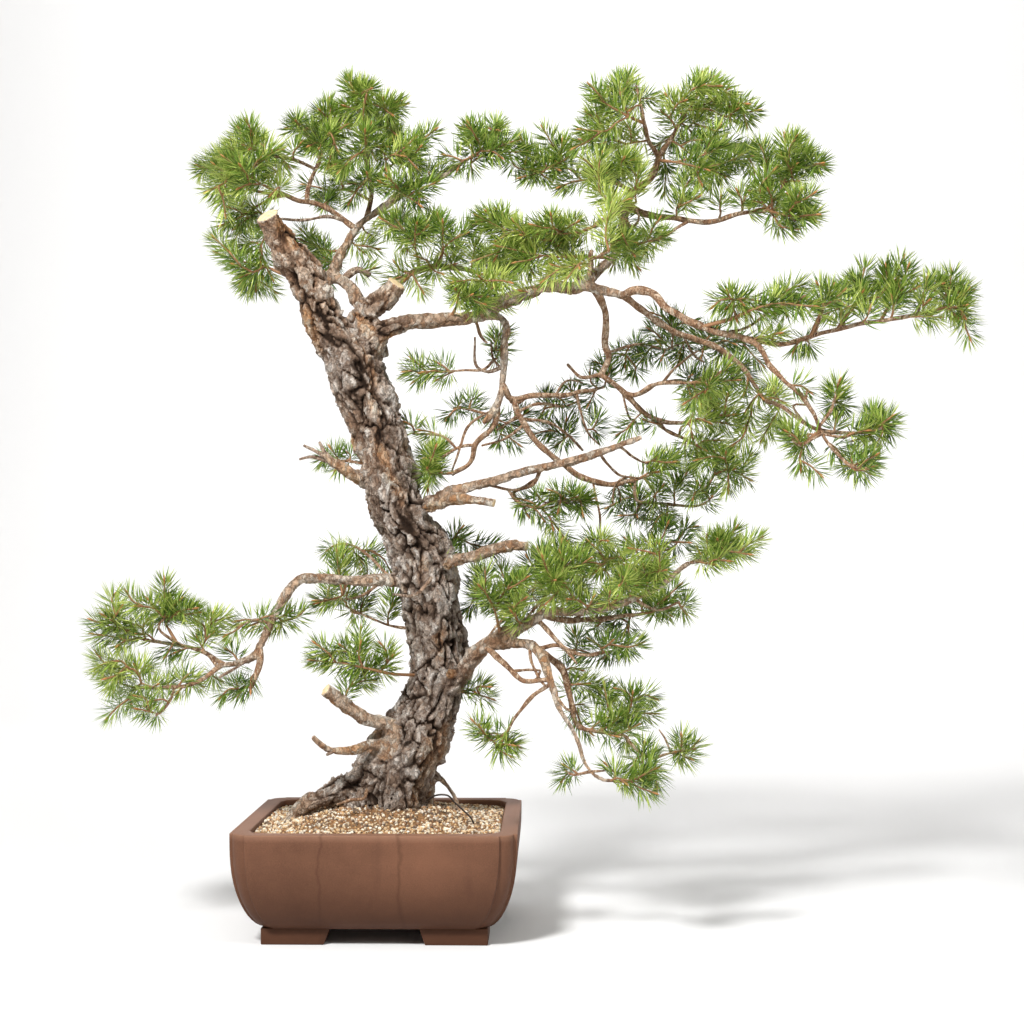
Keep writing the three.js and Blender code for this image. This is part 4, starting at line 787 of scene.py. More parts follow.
def bark_at(place):
    """How far the bark stands out at a place, its height between fissure and plate, which paints shade into the low
    bark, and its tints.
    """
    hits = [(hit[2] - axis_spots[hit[1]][1], axis_spots[hit[1]][1], hit[1]) for hit in tree.find_n(place, 26)]
    skin = min(hits)[0] + 0.009
    nearest = max(hits, key=lambda hit: (hit[0] < skin, hit[1] if hit[0] < skin else -hit[0]))[2]
    spot, radius = axis_spots[nearest]
    along, side, up, run = grain[nearest]
    off = np.array(place) - spot
    grown = Vector((off.dot(side), off.dot(up), 0.52 * (run + off.dot(along))))
    own = min(hits)[1]
    size = float(min(1.0, radius / 0.036, 2.0 * own / 0.036))
    bent = grown + 0.009 * size * noise.noise_vector(grown * 42) + 0.0032 * noise.noise_vector(grown * 130)
    near, cells = noise.voronoi(bent * 46)
    gap = near[1] - near[0]
    deep = step_up(-0.45, 0.35, noise.noise(grown * 24 + Vector((5, 1, 9))))
    plate = step_up(0.015, 0.15, gap)
    lift = noise.noise(cells[0] * 3.1)
    layers = 0.5 + 0.5 * noise.fractal(bent * 62, 0.7, 2.2, 4)
    ledge = terrace(layers + 0.35 * lift, 5)
    small, chips = noise.voronoi(bent * 140)
    chip = noise.noise(chips[0] * 5.3)
    crack = step_up(0.03, 0.22, small[1] - small[0])
    fissure = (1 - plate) * (0.35 + 0.65 * deep)
    bulge = 0.0075 * noise.noise(place * 17) + 0.0035 * noise.noise(place * 41)
    out = 0.0110 * (ledge - 0.60) - 0.0078 * fissure + 0.0016 * chip - 0.0013 * (1 - crack) + bulge
    out = size**0.85 * out - 0.0006 * size
    for knot, wide in knot_places:
        apart = (place - knot).length / wide
        if apart < 1.6:
            ring = step_up(0.5, 0.9, apart) * (1 - step_up(1.1, 1.6, apart))
            return 0.004 * ring - 0.003 * (apart < 0.6), 0.35 + 0.5 * ring, 0.5 + 0.3 * chip, 1.0, 0.0
    stub = min((place - s).length for s in stub_places)
    warm = 0.7 * (1 - step_up(0.02, 0.13, stub))
    high = step_up(0.80, 0.95, place.z)
    thin = 1 - step_up(0.010, 0.024, radius)
    patch = step_up(0.22, 0.50, noise.noise(bent * 26 + Vector((7, 3, 1))) + 0.25 * chip)
    warm = min(1.0, max(warm, 0.75 * high, thin) * (0.6 + 0.5 * patch) + 0.6 * patch)
    height = max(0.0, min(1.0, 0.95 * ledge + 0.30)) * (1 - fissure) * (0.72 + 0.28 * crack)
    height += (0.85 - height) * 0.75 * thin
    return out, height, 0.5 + 0.5 * chip + 0.25 * lift, warm, thin


mesh = wood.data
places = np.empty(len(mesh.vertices) * 3, np.float32)
mesh.vertices.foreach_get("co", places)
places = places.reshape(-1, 3)
normals = np.empty(len(mesh.vertices) * 3, np.float32)
mesh.vertex_normals.foreach_get("vector", normals)
normals = normals.reshape(-1, 3)
tints = np.ones((len(places), 4), np.float32)
moved = places.copy()
sawn_corner = np.zeros(len(places), bool)
for i, place in enumerate(places):
    spot = Vector(place)
    if on_cut(spot, Vector(normals[i])):
        sawn_corner[i] = True
        continue
    out, *grades = bark_at(spot)
    moved[i] += normals[i] * out
    tints[i] = grades
mesh.vertices.foreach_set("co", moved.ravel())
layer = mesh.color_attributes.new("bark", "FLOAT_COLOR", "POINT")
layer.data.foreach_set("color", tints.ravel())
mesh.update()
bpy.context.view_layer.objects.active = wood
wood.select_set(True)
bpy.ops.object.shade_smooth()

def flake_group():
    """Chips with dark edges at a given size, for the bark of trunk and boughs."""
    group = bpy.data.node_groups.new("flakes", "ShaderNodeTree")
    face = group.interface
    face.new_socket("Scale", in_out="INPUT", socket_type="NodeSocketFloat").default_value = 120.0
    for label in ("Chip", "Edge", "Height"):
        face.new_socket(label, in_out="OUTPUT", socket_type="NodeSocketFloat")
    nodes, links = group.nodes, group.links
    inside = nodes.new("NodeGroupInput")
    outside = nodes.new("NodeGroupOutput")
    place = nodes.new("ShaderNodeTexCoord")
    squeeze = nodes.new("ShaderNodeMapping")
    squeeze.inputs["Scale"].default_value = (1, 1, 0.6)
    links.new(place.outputs["Object"], squeeze.inputs["Vector"])
    sway = nodes.new("ShaderNodeTexNoise")
    sway.inputs["Scale"].default_value = 90
    sway.inputs["Detail"].default_value = 4
    sway.inputs["Roughness"].default_value = 0.65
    links.new(squeeze.outputs["Vector"], sway.inputs["Vector"])
    shift = nodes.new("ShaderNodeVectorMath")
    shift.operation = "MULTIPLY_ADD"
    shift.inputs[1].default_value = (0.027, 0.027, 0.027)
    links.new(sway.outputs["Color"], shift.inputs[0])
    links.new(squeeze.outputs["Vector"], shift.inputs[2])
    chips = nodes.new("ShaderNodeTexVoronoi")
    edges = nodes.new("ShaderNodeTexVoronoi")
    edges.feature = "DISTANCE_TO_EDGE"
    for cells in (chips, edges):
        links.new(shift.outputs[0], cells.inputs["Vector"])
        links.new(inside.outputs["Scale"], cells.inputs["Scale"])
    chip = nodes.new("ShaderNodeSeparateColor")
    links.new(chips.outputs["Color"], chip.inputs["Color"])
    edge = nodes.new("ShaderNodeMapRange")
    edge.inputs["From Min"].default_value = 0.0
    edge.inputs["From Max"].default_value = 0.16
    links.new(edges.outputs["Distance"], edge.inputs["Value"])
    fine = nodes.new("ShaderNodeTexNoise")
    fine.inputs["Scale"].default_value = 420
    fine.inputs["Detail"].default_value = 5
    fine.inputs["Roughness"].default_value = 0.7
    links.new(shift.outputs[0], fine.inputs["Vector"])
    height = nodes.new("ShaderNodeMath")
    height.operation = "MULTIPLY_ADD"
    height.inputs[1].default_value = 0.55
    links.new(chip.outputs["Green"], height.inputs[0])
    links.new(fine.outputs["Fac"], height.inputs[2])
    cut_in = nodes.new("ShaderNodeMath")
    cut_in.operation = "MULTIPLY"
    links.new(height.outputs[0], cut_in.inputs[0])
    links.new(edge.outputs["Result"], cut_in.inputs[1])
    links.new(chip.outputs["Red"], outside.inputs["Chip"])
    links.new(edge.outputs["Result"], outside.inputs["Edge"])
    links.new(cut_in.outputs[0], outside.inputs["Height"])
    return group


FLAKES = flake_group()

finish, nodes, links, shader = new_finish("plated_bark", 0.82)
mottle = mottle_in(nodes, 70.0, 520.0, 0.55)
flakes = nodes.new("ShaderNodeGroup")
flakes.node_tree = FLAKES
flakes.inputs["Scale"].default_value = 120.0
bark = nodes.new("ShaderNodeAttribute")
bark.attribute_name = "bark"
grades = nodes.new("ShaderNodeSeparateColor")
links.new(bark.outputs["Color"], grades.inputs["Color"])
flaked = blend_of(nodes, links, 0.5, grades.outputs["Green"], flakes.outputs["Chip"])
# The height grade shares in the tone, so low bark is painted darker, as painted shade.
chip = blend_of(nodes, links, 0.45, flaked, grades.outputs["Red"])
grey = ramp_of(
    nodes, links, chip, (0.22, (0.16, 0.095, 0.060, 1)), (0.46, (0.38, 0.27, 0.20, 1)),
    (0.62, (0.66, 0.54, 0.45, 1)), (0.80, (0.97, 0.89, 0.81, 1)),
)
orange = ramp_of(
    nodes, links, chip, (0.22, (0.24, 0.10, 0.040, 1)), (0.46, (0.58, 0.29, 0.13, 1)),
    (0.64, (0.82, 0.55, 0.34, 1)), (0.82, (1.0, 0.88, 0.71, 1)),
)
skin = blend_of(nodes, links, grades.outputs["Blue"], grey, orange)
weather = ramp_of(
    nodes, links, mottle.outputs["Mask"], (0.0, (0.36, 0.29, 0.24, 1)), (0.45, (1, 1, 1, 1)),
    (1.0, (1.55, 1.53, 1.5, 1)),
)
weathered = blend_of(nodes, links, 0.8, skin, weather, "MULTIPLY")
edged = blend_of(nodes, links, flakes.outputs["Edge"], (0.070, 0.036, 0.020, 1), weathered)
softened = blend_of(nodes, links, 0.42, weathered, edged)
# Painted shade: low bark, in fissures and cracks, is darkened towards near black.
fissure = nodes.new("ShaderNodeMapRange")
fissure.inputs["From Min"].default_value = 0.10
fissure.inputs["From Max"].default_value = 0.50
links.new(grades.outputs["Red"], fissure.inputs["Value"])
fissure_shaded = blend_of(nodes, links, fissure.outputs["Result"], (0.045, 0.024, 0.013, 1), softened)
links.new(fissure_shaded, shader.inputs["Base Color"])
shader.inputs["Specular IOR Level"].default_value = 0.2
relief_of(nodes, links, shader, flakes.outputs["Height"], 1.0, 0.006)
BARK = finish
wood.data.materials.append(BARK)

finish, nodes, links, shader = new_finish("sawn_wood", 0.7)
mottle = mottle_in(nodes, 160.0, 700.0, 0.35)
sawn = ramp_of(
    nodes, links, mottle.outputs["Mask"], (0.0, (0.50, 0.31, 0.15, 1)), (0.5, (0.74, 0.55, 0.32, 1)),
    (1.0, (0.86, 0.72, 0.50, 1)),
)
links.new(sawn, shader.inputs["Base Color"])
relief_of(nodes, links, shader, mottle.outputs["Height"], 0.4, 0.0008)
SAWN = finish
wood.data.materials.append(SAWN)
for face in mesh.polygons:
    if all(sawn_corner[i] for i in face.vertices):
        face.material_index = 1
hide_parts("trunk")
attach(wood, "root")


# Thin boughs and twigs. Younger wood with thin flaking bark, pinkish brown to orange, grey and smooth where it
# is dead. Each is drawn along its own route out of the wood that carries it.
THIN = {
    "root_small": [(2.6, 2.4, 2.4, 1.6), (-14, 176, -66), (-32, 180, -76), (-50, 179, -80), (-70, 171, -78)],
    "snag_fork": [(3.2, 1.8), (-72, 252, -68), (-85, 244, -74)],
    "prong_up": [(3.6, 1.8), (-84, 678, -38), (-97, 703, -44)],
    "prong_mid": [(3.6, 1.6), (-84, 680, -38), (-120, 698, -38)],
    "prong_low": [(3.6, 1.5), (-78, 674, -37), (-106, 680, -32), (-126, 677, -28)],
    "dead_across": [(3.4, 2.6, 1.8), (68, 479, -38), (44, 478, -50), (12, 479, -56)],
    "leader_snag": [(6, 5, 4), (-60, 948, 26), (-40, 955, 32), (-22, 948, 36)],
    "bough_left_pad": [(5, 4.4, 4, 3.4, 3), (-45, 1018, 34), (-66, 1034, 30), (-98, 1054, 24),
                       (-132, 1060, 14), (-157, 1071, 6)],
    "riser": [(4, 3.4, 3), (-114, 1056, 20), (-114, 1080, 20), (-97, 1119, 24)],
    "riser_left": [(2.8, 2.4, 2.2), (-105, 1106, 22), (-131, 1119, 12), (-180, 1129, -2)],
    "dead_crown": [(2.8, 2.4, 1.8), (-60, 1030, 31), (-84, 1035, 20), (-117, 1030, 14), (-157, 1032, 6)],
    "bough_top": [(4.6, 3.6, 3, 2.4), (-27, 1034, 34), (-21, 1060, 42), (-26, 1122, 46), (-27, 1162, 42)],
    "bough_middle": [(8, 6, 5, 4.4, 4, 3), (0, 908, 0), (14, 932, 20), (34, 949, 34), (62, 960, 36),
                     (100, 960, 28), (136, 951, 18)],
    "b_low": [(5, 4.4, 4, 3.6, 3.2, 2.8), (163, 754, -2), (160, 728, 4), (133, 697, 10), (129, 680, 12),
              (120, 667, 12), (98, 655, 10)],
    "twig_hook": [(3, 2.4, 1.8), (130, 876, -12), (140, 860, -20), (150, 848, -26)],
    "dead_upright": [(3.4, 2.8, 2.4, 1.7), (174, 812, -4), (150, 806, 4), (134, 814, 6), (132, 857, 0)],
    "c_stub": [(5, 3.5, 2.8), (300, 938, -20), (302, 963, -26), (304, 984, -30)],
    "bough_d": [(7, 6.6, 6, 5.4, 4.6), (353, 1040, 22), (362, 1068, 26), (388, 1087, 24), (396, 1104, 22),
                (403, 1126, 18)],
    "d_right": [(4.4, 3.6, 3), (402, 1122, 18), (419, 1147, 28), (438, 1180, 36)],
    "d_left": [(4, 3.4, 2.8, 2.2, 1.7), (401, 1119, 18), (389, 1142, 8), (379, 1174, -5), (376, 1200, -10),
               (369, 1227, -14)],
    "d_low": [(6, 5, 4.4, 3.8, 3.2, 2.6), (358, 1048, 24), (380, 1038, 20), (420, 1032, 14), (471, 1024, 4),
              (518, 1036, -2), (568, 1042, -8)],
    "d_hook": [(5, 4, 3.4), (355, 1047, 23), (330, 1034, 8), (308, 1019, -4)],
    "bough_f": [(6, 6.4, 6, 5.4, 5, 4.2, 3.8, 3.4, 3, 2.8, 2.4), (347, 918, -39), (372, 925, -46),
                (397, 916, -52), (418, 897, -56), (465, 871, -62), (523, 856, -66), (581, 846, -70),
                (641, 862, -68), (700, 875, -62), (758, 884, -56), (815, 897, -48)],
    "f_down": [(4.6, 4, 3.8, 3.2, 3, 2.8, 2.4, 2.2), (520, 856, -66), (545, 843, -74), (566, 812, -84),
               (583, 793, -90), (608, 772, -92), (627, 745, -92), (640, 712, -90), (676, 669, -98)],
    "bough_g": [(5.4, 5, 4.6, 4.2, 3.8, 3.6, 3, 2.8, 2.4), (350, 916, -40), (388, 888, -24),
                (432, 861, -12), (490, 838, 0), (524, 811, 6), (553, 768, 6), (582, 753, -34),
                (636, 719, -70), (684, 714, -78)],
    "bough_h": [(6, 5.2, 5, 5, 4.4), (303, 936, -21), (322, 896, -10), (324, 844, 2), (327, 826, 5),
                (316, 797, 10)],
    "h_right": [(4.4, 4, 3.6, 3.2, 2.8, 2.4), (317, 800, 10), (350, 775, 14), (388, 739, 22),
                (425, 730, 26), (452, 733, 30)],
    "h_middle": [(3.6, 3.2, 2.6), (350, 775, 14), (368, 771, 6), (400, 788, -6), (452, 788, -14)],
    "h_low": [(2.8, 2.4, 2.2), (386, 741, 22), (409, 722, 34), (444, 704, 46)],
    "h_left": [(3, 2.6, 2.2), (318, 801, 10), (288, 797, 30), (268, 816, 42)],
    "bough_i": [(4.2, 4, 3.6, 3.4, 3), (171, 782, -4), (186, 766, 4), (212, 770, 12), (256, 771, 20),
                (310, 779, 34)],
    "bough_j_two": [(5, 4.8, 4.6, 4.4, 4.2, 3.6), (190, 764, 5), (199, 737, 4), (228, 698, 8),
                    (274, 660, 16), (318, 640, 20), (366, 646, 26)],
    "j_under": [(3, 2.6, 2.4, 2.2), (230, 658, -46), (218, 640, -40), (188, 628, -30), (206, 606, -20)],
    "r_side": [(5, 4, 3.4, 2.6), (232, 448, -64), (263, 441, -50), (318, 444, -34), (378, 451, -18)],
    "r_low": [(3.6, 3, 2.4), (222, 442, -64), (250, 414, -74), (276, 386, -78)],
    "r_three": [(6, 5.4, 4.8, 4.2, 3.6, 2.8), (203, 407, -72), (241, 387, -62), (264, 362, -52),
                (271, 330, -48), (281, 289, -50), (300, 280, -54)],
    "r_loop": [(4.6, 4, 3.6, 3.2), (148, 402, -56), (180, 373, -82), (204, 353, -92), (240, 354, -88)],
    "r_hang": [(3, 2.8, 2.6, 2.4), (243, 346, -88), (217, 330, -96), (190, 298, -104), (176, 272, -108)],
    "r_up": [(3, 2.6, 2.4), (226, 399, -79), (253, 405, -70), (290, 391, -58), (322, 395, -48)],
    "l_stub": [(6, 5, 4, 3), (-187, 396, -60), (-186, 372, -64), (-196, 342, -70)],
    "l_bare": [(2.6, 2.2, 1.8), (-190, 391, -61), (-214, 375, -72), (-243, 357, -80)],
    "l_left": [(4, 3, 2.6, 2.2), (-238, 375, -56), (-270, 396, -48), (-310, 406, -40), (-352, 412, -34)],
    "l_low": [(4, 3, 2.6, 2.2), (-240, 374, -56), (-275, 350, -60), (-322, 342, -54), (-358, 342, -44)],
}


# Finer twigs: thickness at both ends, depth at both ends, then the places along the way as x, z pairs.
TWIGS = [
    (2.8, 1.8, -4, -14, (318, 1021, 325, 1030, 341, 1042, 356, 1051, 369, 1054)),
    (2.6, 1.6, 10, -12, (347, 1039, 353, 1024, 364, 1018, 373, 1030, 369, 1045)),
    (2.4, 1.6, 8, 0, (347, 1020, 343, 998, 337, 986)),
    (2.0, 1.4, -2, 10, (523, 1040, 526, 1052, 531, 1071)),
    (2.0, 1.4, 4, 14, (489, 1030, 493, 1042)),
    (2.4, 1.6, 6, -20, (446, 1024, 432, 1018, 405, 1001, 395, 998)),
    (2.2, 1.6, -20, -50, (281, 938, 281, 963, 297, 964)),
    (2.2, 1.4, -30, -60, (307, 966, 329, 982)),
    (2.6, 1.8, -62, -90, (465, 872, 487, 878, 517, 884, 531, 894, 545, 900, 575, 900, 596, 906, 616, 916)),
    (2.6, 1.8, -64, -40, (498, 866, 527, 868, 552, 884, 564, 894)),
    (2.4, 1.6, -68, -90, (627, 858, 634, 876, 640, 890, 643, 901)),
    (2.4, 1.6, -60, -30, (668, 872, 673, 884, 684, 897, 694, 907, 710, 910, 739, 912)),
    (2.2, 1.5, -60, -80, (684, 897, 663, 900, 656, 912, 651, 923)),
    (2.2, 1.5, -58, -40, (725, 879, 733, 891, 744, 913, 732, 950)),
    (1.8, 1.3, -66, -60, (505, 882, 512, 903, 509, 916)),
    (2.2, 1.5, -52, -30, (775, 886, 782, 896, 785, 910, 791, 925, 798, 938)),
    (2.0, 1.4, -92, -96, (618, 761, 618, 778)),
    (2.2, 1.5, -70, -60, (589, 751, 597, 755, 618, 756)),
    (2.4, 1.5, -90, -70, (640, 724, 653, 748, 657, 761, 662, 775, 666, 785)),
    (2.4, 1.5, -90, -86, (640, 714, 671, 709, 684, 714, 710, 717, 726, 722)),
    (2.4, 1.5, -94, -112, (678, 668, 691, 663, 704, 664)),
    (2.2, 1.4, -90, -112, (636, 714, 630, 709, 619, 702, 608, 696, 596, 704)),
    (3.2, 2.2, 8, 50, (365, 770, 381, 777, 395, 786, 410, 790, 429, 792, 447, 789, 461, 786)),
    (3.0, 2.0, 10, 44, (359, 764, 370, 752, 382, 742, 392, 736, 407, 731, 425, 730, 457, 734, 471, 736)),
    (2.4, 1.6, 26, 40, (403, 727, 414, 718, 436, 708, 449, 701)),
    (2.0, 1.4, 34, 40, (433, 711, 434, 724, 444, 728)),
    (3.2, 2.0, -4, 60, (177, 790, 183, 771, 187, 761, 195, 759, 212, 770, 234, 770, 256, 771, 278, 774, 300, 777,
                        322, 783)),
    (3.0, 2.0, 16, 30, (261, 676, 274, 658, 285, 651, 300, 644, 315, 639, 332, 641, 351, 642, 373, 648)),
    (2.4, 1.6, -58, -40, (234, 441, 263, 440, 290, 449)),
    (2.4, 1.6, -50, -10, (300, 444, 315, 441, 344, 446, 373, 450, 388, 453)),
    (2.6, 1.6, -64, -90, (230, 433, 250, 414, 266, 398, 281, 378)),
    (2.6, 1.6, -79, -50, (228, 400, 253, 405, 278, 393, 303, 390, 326, 395)),
    (2.4, 1.4, -90, -110, (250, 336, 263, 314, 271, 310)),
    (3.0, 2.0, -60, -90, (168, 387, 183, 371, 202, 354, 220, 354, 228, 367)),
    (2.4, 1.6, -70, -84, (196, 375, 209, 369, 228, 368)),
    (2.4, 1.6, -80, -92, (206, 390, 215, 380, 228, 353, 236, 345)),
    (2.2, 1.4, -106, -116, (176, 270, 161, 270, 149, 278)),
    (2.2, 1.4, -106, -120, (176, 270, 186, 264, 198, 257)),
    (1.8, 1.2, 4, -20, (112, 334, 132, 333, 142, 331)),
    (2.2, 1.4, -96, -90, (300, 222, 275, 216, 262, 224)),
    (2.0, 1.3, -96, -90, (300, 222, 322, 222)),
    (2.6, 1.6, -52, -80, (340, 285, 351, 273, 359, 263, 373, 248, 391, 241, 419, 248, 455, 254)),
    (1.6, 1.0, -76, -80, (416, 251, 410, 269, 401, 282)),
    (2.2, 1.4, -6, 20, (168, 809, 158, 827, 156, 850)),
    (2.0, 1.4, 4, 10, (156, 822, 145, 809, 117, 808, 83, 805, 60, 806)),
    (2.6, 1.6, 4, 20, (132, 695, 110, 695, 88, 683, 75, 676, 54, 665)),
    (2.2, 1.4, 8, 20, (113, 690, 101, 668, 98, 658)),
    (2.4, 1.6, 6, 40, (104, 702, 120, 723, 146, 743, 157, 748)),
    (2.0, 1.4, 30, 40, (143, 746, 114, 752, 100, 752)),
    (2.2, 1.4, 8, 30, (102, 695, 85, 711, 51, 714, 40, 715)),
    (2.6, 1.8, 0, 60, (203, 749, 215, 756, 234, 758, 256, 755, 274, 758, 288, 764)),
    (2.6, 1.8, 2, 60, (208, 742, 241, 730, 268, 712, 290, 690)),
    (2.2, 1.5, 0, 20, (187, 737, 176, 728, 164, 720)),
    (2.4, 1.5, -2, 30, (195, 724, 183, 711, 168, 704, 142, 697)),
    (2.2, 1.5, 20, 50, (250, 775, 266, 792, 290, 789)),
    (2.4, 1.5, 24, 50, (282, 771, 287, 749, 293, 727, 300, 712, 315, 698)),
    (2.0, 1.4, 16, 40, (340, 767, 359, 737, 368, 732)),
    (2.4, 1.6, -46, -20, (148, 625, 190, 632, 220, 647, 227, 654)),
    (2.4, 1.6, -40, -10, (180, 638, 189, 619, 212, 608, 228, 607, 241, 613, 274, 617, 296, 616)),
    (2.2, 1.4, 10, 30, (310, 642, 315, 595, 316, 563, 315, 554)),
    (2.8, 1.8, 26, 50, (364, 645, 369, 617, 388, 614, 425, 610, 454, 608, 470, 612)),
    (2.2, 1.5, 40, 60, (367, 613, 366, 592, 388, 588, 411, 593)),
    (2.2, 1.5, -40, 10, (315, 674, 326, 670, 344, 654, 373, 649)),
    (2.0, 1.3, 10, 24, (335, 661, 337, 638, 334, 612)),
    (2.2, 1.4, -30, 10, (344, 689, 369, 677, 386, 670)),
    (2.6, 1.8, -56, -58, (-173, 440, -189, 440, -207, 436, -219, 431)),
    (2.4, 1.6, -48, -40, (-306, 411, -333, 430, -325, 444)),
    (2.6, 1.6, 24, 16, (-88, 1143, -110, 1150, -128, 1168)),
    (2.6, 1.6, 30, 44, (-70, 1137, -70, 1162, -75, 1184, -82, 1200)),
    (2.4, 1.5, -10, 14, (452, 788, 480, 800, 500, 808)),
    (2.2, 1.4, 30, -10, (-126, 1112, -147, 1122, -166, 1125, -190, 1134)),
    (2.4, 1.6, 30, 46, (350, 850, 380, 846, 410, 838, 440, 850)),
    (2.4, 1.6, 30, 50, (400, 800, 430, 815, 460, 836, 500, 850)),
    (2.0, 1.4, -14, 30, (436, 852, 447, 838, 455, 828, 468, 819)),
    (2.4, 1.6, 0, 30, (4, 529, -40, 548, -62, 553)),
    (2.4, 1.6, 0, 30, (0, 488, -28, 480, -60, 472, -90, 472)),
    (2.4, 1.6, 10, 30, (36, 424, 4, 434, -19, 443, -56, 461)),
    (2.4, 1.6, -20, 30, (5, 660, -40, 672, -75, 676)),
    (2.4, 1.6, -60, -30, (-246, 374, -262, 392, -285, 402, -306, 406)),
    (2.2, 1.4, -56, -70, (-306, 345, -316, 322, -333, 304, -356, 315)),
    (2.4, 1.5, -44, -30, (370, 452, 400, 456, 430, 468)),
    (2.4, 1.5, -30, 40, (140, 397, 170, 440, 200, 470, 230, 500)),
    (2.4, 1.5, -50, 40, (199, 431, 240, 480, 280, 500, 330, 520)),
    (2.4, 1.5, -40, 50, (300, 455, 340, 500, 390, 540, 430, 560)),
]


def knotty(line, thick, seed):
    """Small swellings and a slight wander, as young wood has."""
    rough = thick.copy()
    bent = line.copy()
    for i, spot in enumerate(line):
        rough[i] *= 1 + 0.30 * noise.noise(Vector(spot) * 60 + Vector((seed, 0, 0)))
        if 0 < i < len(line) - 1:
            bent[i] += 0.6 * thick[i] * np.array(noise.noise_vector(Vector(spot) * 34))
    return bent, rough


shells, tints = [], []
for number, (name, (radii, *route)) in enumerate(THIN.items()):
    line, thick = limb_of(route, radii, 0.005, snap=True)
    axis_spots += list(zip(line, thick))
    shells.append(limb_shell(*knotty(line, thick, number), 9))
    tone = 0.3 if name.startswith(("dead", "prong", "snag", "l_bare", "leader_snag")) else 0.75
    tints.append(np.tile([tone, (0.37 * number) % 1, 0.5, 1], (len(shells[-1][0]), 1)))
for number, (first, last, front, back, flat) in enumerate(TWIGS):
    places = list(zip(flat[::2], flat[1::2]))
    route = [(x, z, front + (back - front) * i / (len(places) - 1)) for i, (x, z) in enumerate(places)]
    line, thick = limb_of(route, (first, last), 0.006, snap=True)
    axis_spots += list(zip(line, thick))
    shells.append(limb_shell(*knotty(line, thick, 60 + number), 6))
    tints.append(np.tile([0.8, (0.37 * number) % 1, 0.5, 1], (len(shells[-1][0]), 1)))
boughs = loose_mesh("thin_boughs", *joined(shells), np.concatenate(tints), "bough")
bpy.ops.object.select_all(action="DESELECT")
boughs.select_set(True)
bpy.context.view_layer.objects.active = boughs
bpy.ops.object.shade_smooth()

finish, nodes, links, shader = new_finish("flaking_bark", 0.75)
mottle = mottle_in(nodes, 110.0, 520.0, 0.55)
bough = nodes.new("ShaderNodeAttribute")
bough.attribute_name = "bough"
grades = nodes.new("ShaderNodeSeparateColor")
links.new(bough.outputs["Color"], grades.inputs["Color"])
flakes = nodes.new("ShaderNodeGroup")
flakes.node_tree = FLAKES
flakes.inputs["Scale"].default_value = 230.0
chip = blend_of(nodes, links, 0.5, mottle.outputs["Mask"], flakes.outputs["Chip"])
pink = ramp_of(
    nodes, links, chip, (0.18, (0.19, 0.085, 0.038, 1)), (0.40, (0.52, 0.26, 0.125, 1)),
    (0.60, (0.73, 0.45, 0.26, 1)), (0.82, (0.94, 0.76, 0.56, 1)),
)
grey = ramp_of(
    nodes, links, chip, (0.18, (0.17, 0.115, 0.080, 1)), (0.5, (0.42, 0.32, 0.245, 1)),
    (0.82, (0.76, 0.66, 0.56, 1)),
)
coloured = blend_of(nodes, links, grades.outputs["Red"], grey, pink)
edged = blend_of(nodes, links, flakes.outputs["Edge"], (0.12, 0.060, 0.032, 1), coloured)
worn = blend_of(nodes, links, 0.4, coloured, edged)
links.new(worn, shader.inputs["Base Color"])
shader.inputs["Specular IOR Level"].default_value = 0.25
relief_of(nodes, links, shader, flakes.outputs["Height"], 1.0, 0.0024)
TWIG_BARK = finish
boughs.data.materials.append(TWIG_BARK)
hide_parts("trunk")
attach(boughs, "root")


# Tie wire. Dark annealed wire holds the roots down, and a loop of it stands out of the grit beside the trunk.
# It is one bent length, drawn round.
WIRE = [(62, 178, -44), (78, 186, -60), (93, 185, -62), (103, 175, -60), (116, 163, -58), (127, 152, -56), (134, 136, -54)]
line, _ = smooth_route([seen(p) for p in WIRE], 0.003)
shell = limb_shell(line, np.full(len(line), 0.0013), 10)
wire = loose_mesh("bent_wire", *shell)
bpy.ops.object.select_all(action="DESELECT")
wire.select_set(True)
bpy.context.view_layer.objects.active = wire
bpy.ops.object.shade_smooth()
finish, nodes, links, shader = new_finish("annealed_wire", 0.5)
mottle = mottle_in(nodes, 90.0, 900.0, 0.4)
dull = ramp_of(nodes, links, mottle.outputs["Mask"], (0.0, (0.03, 0.024, 0.02, 1)), (1.0, (0.11, 0.085, 0.07, 1)))
links.new(dull, shader.inputs["Base Color"])
shader.inputs["Metallic"].default_value = 0.7
relief_of(nodes, links, shader, mottle.outputs["Height"], 0.3, 0.0003)
wire.data.materials.append(finish)
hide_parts("tie_wire")
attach(wire, "root")


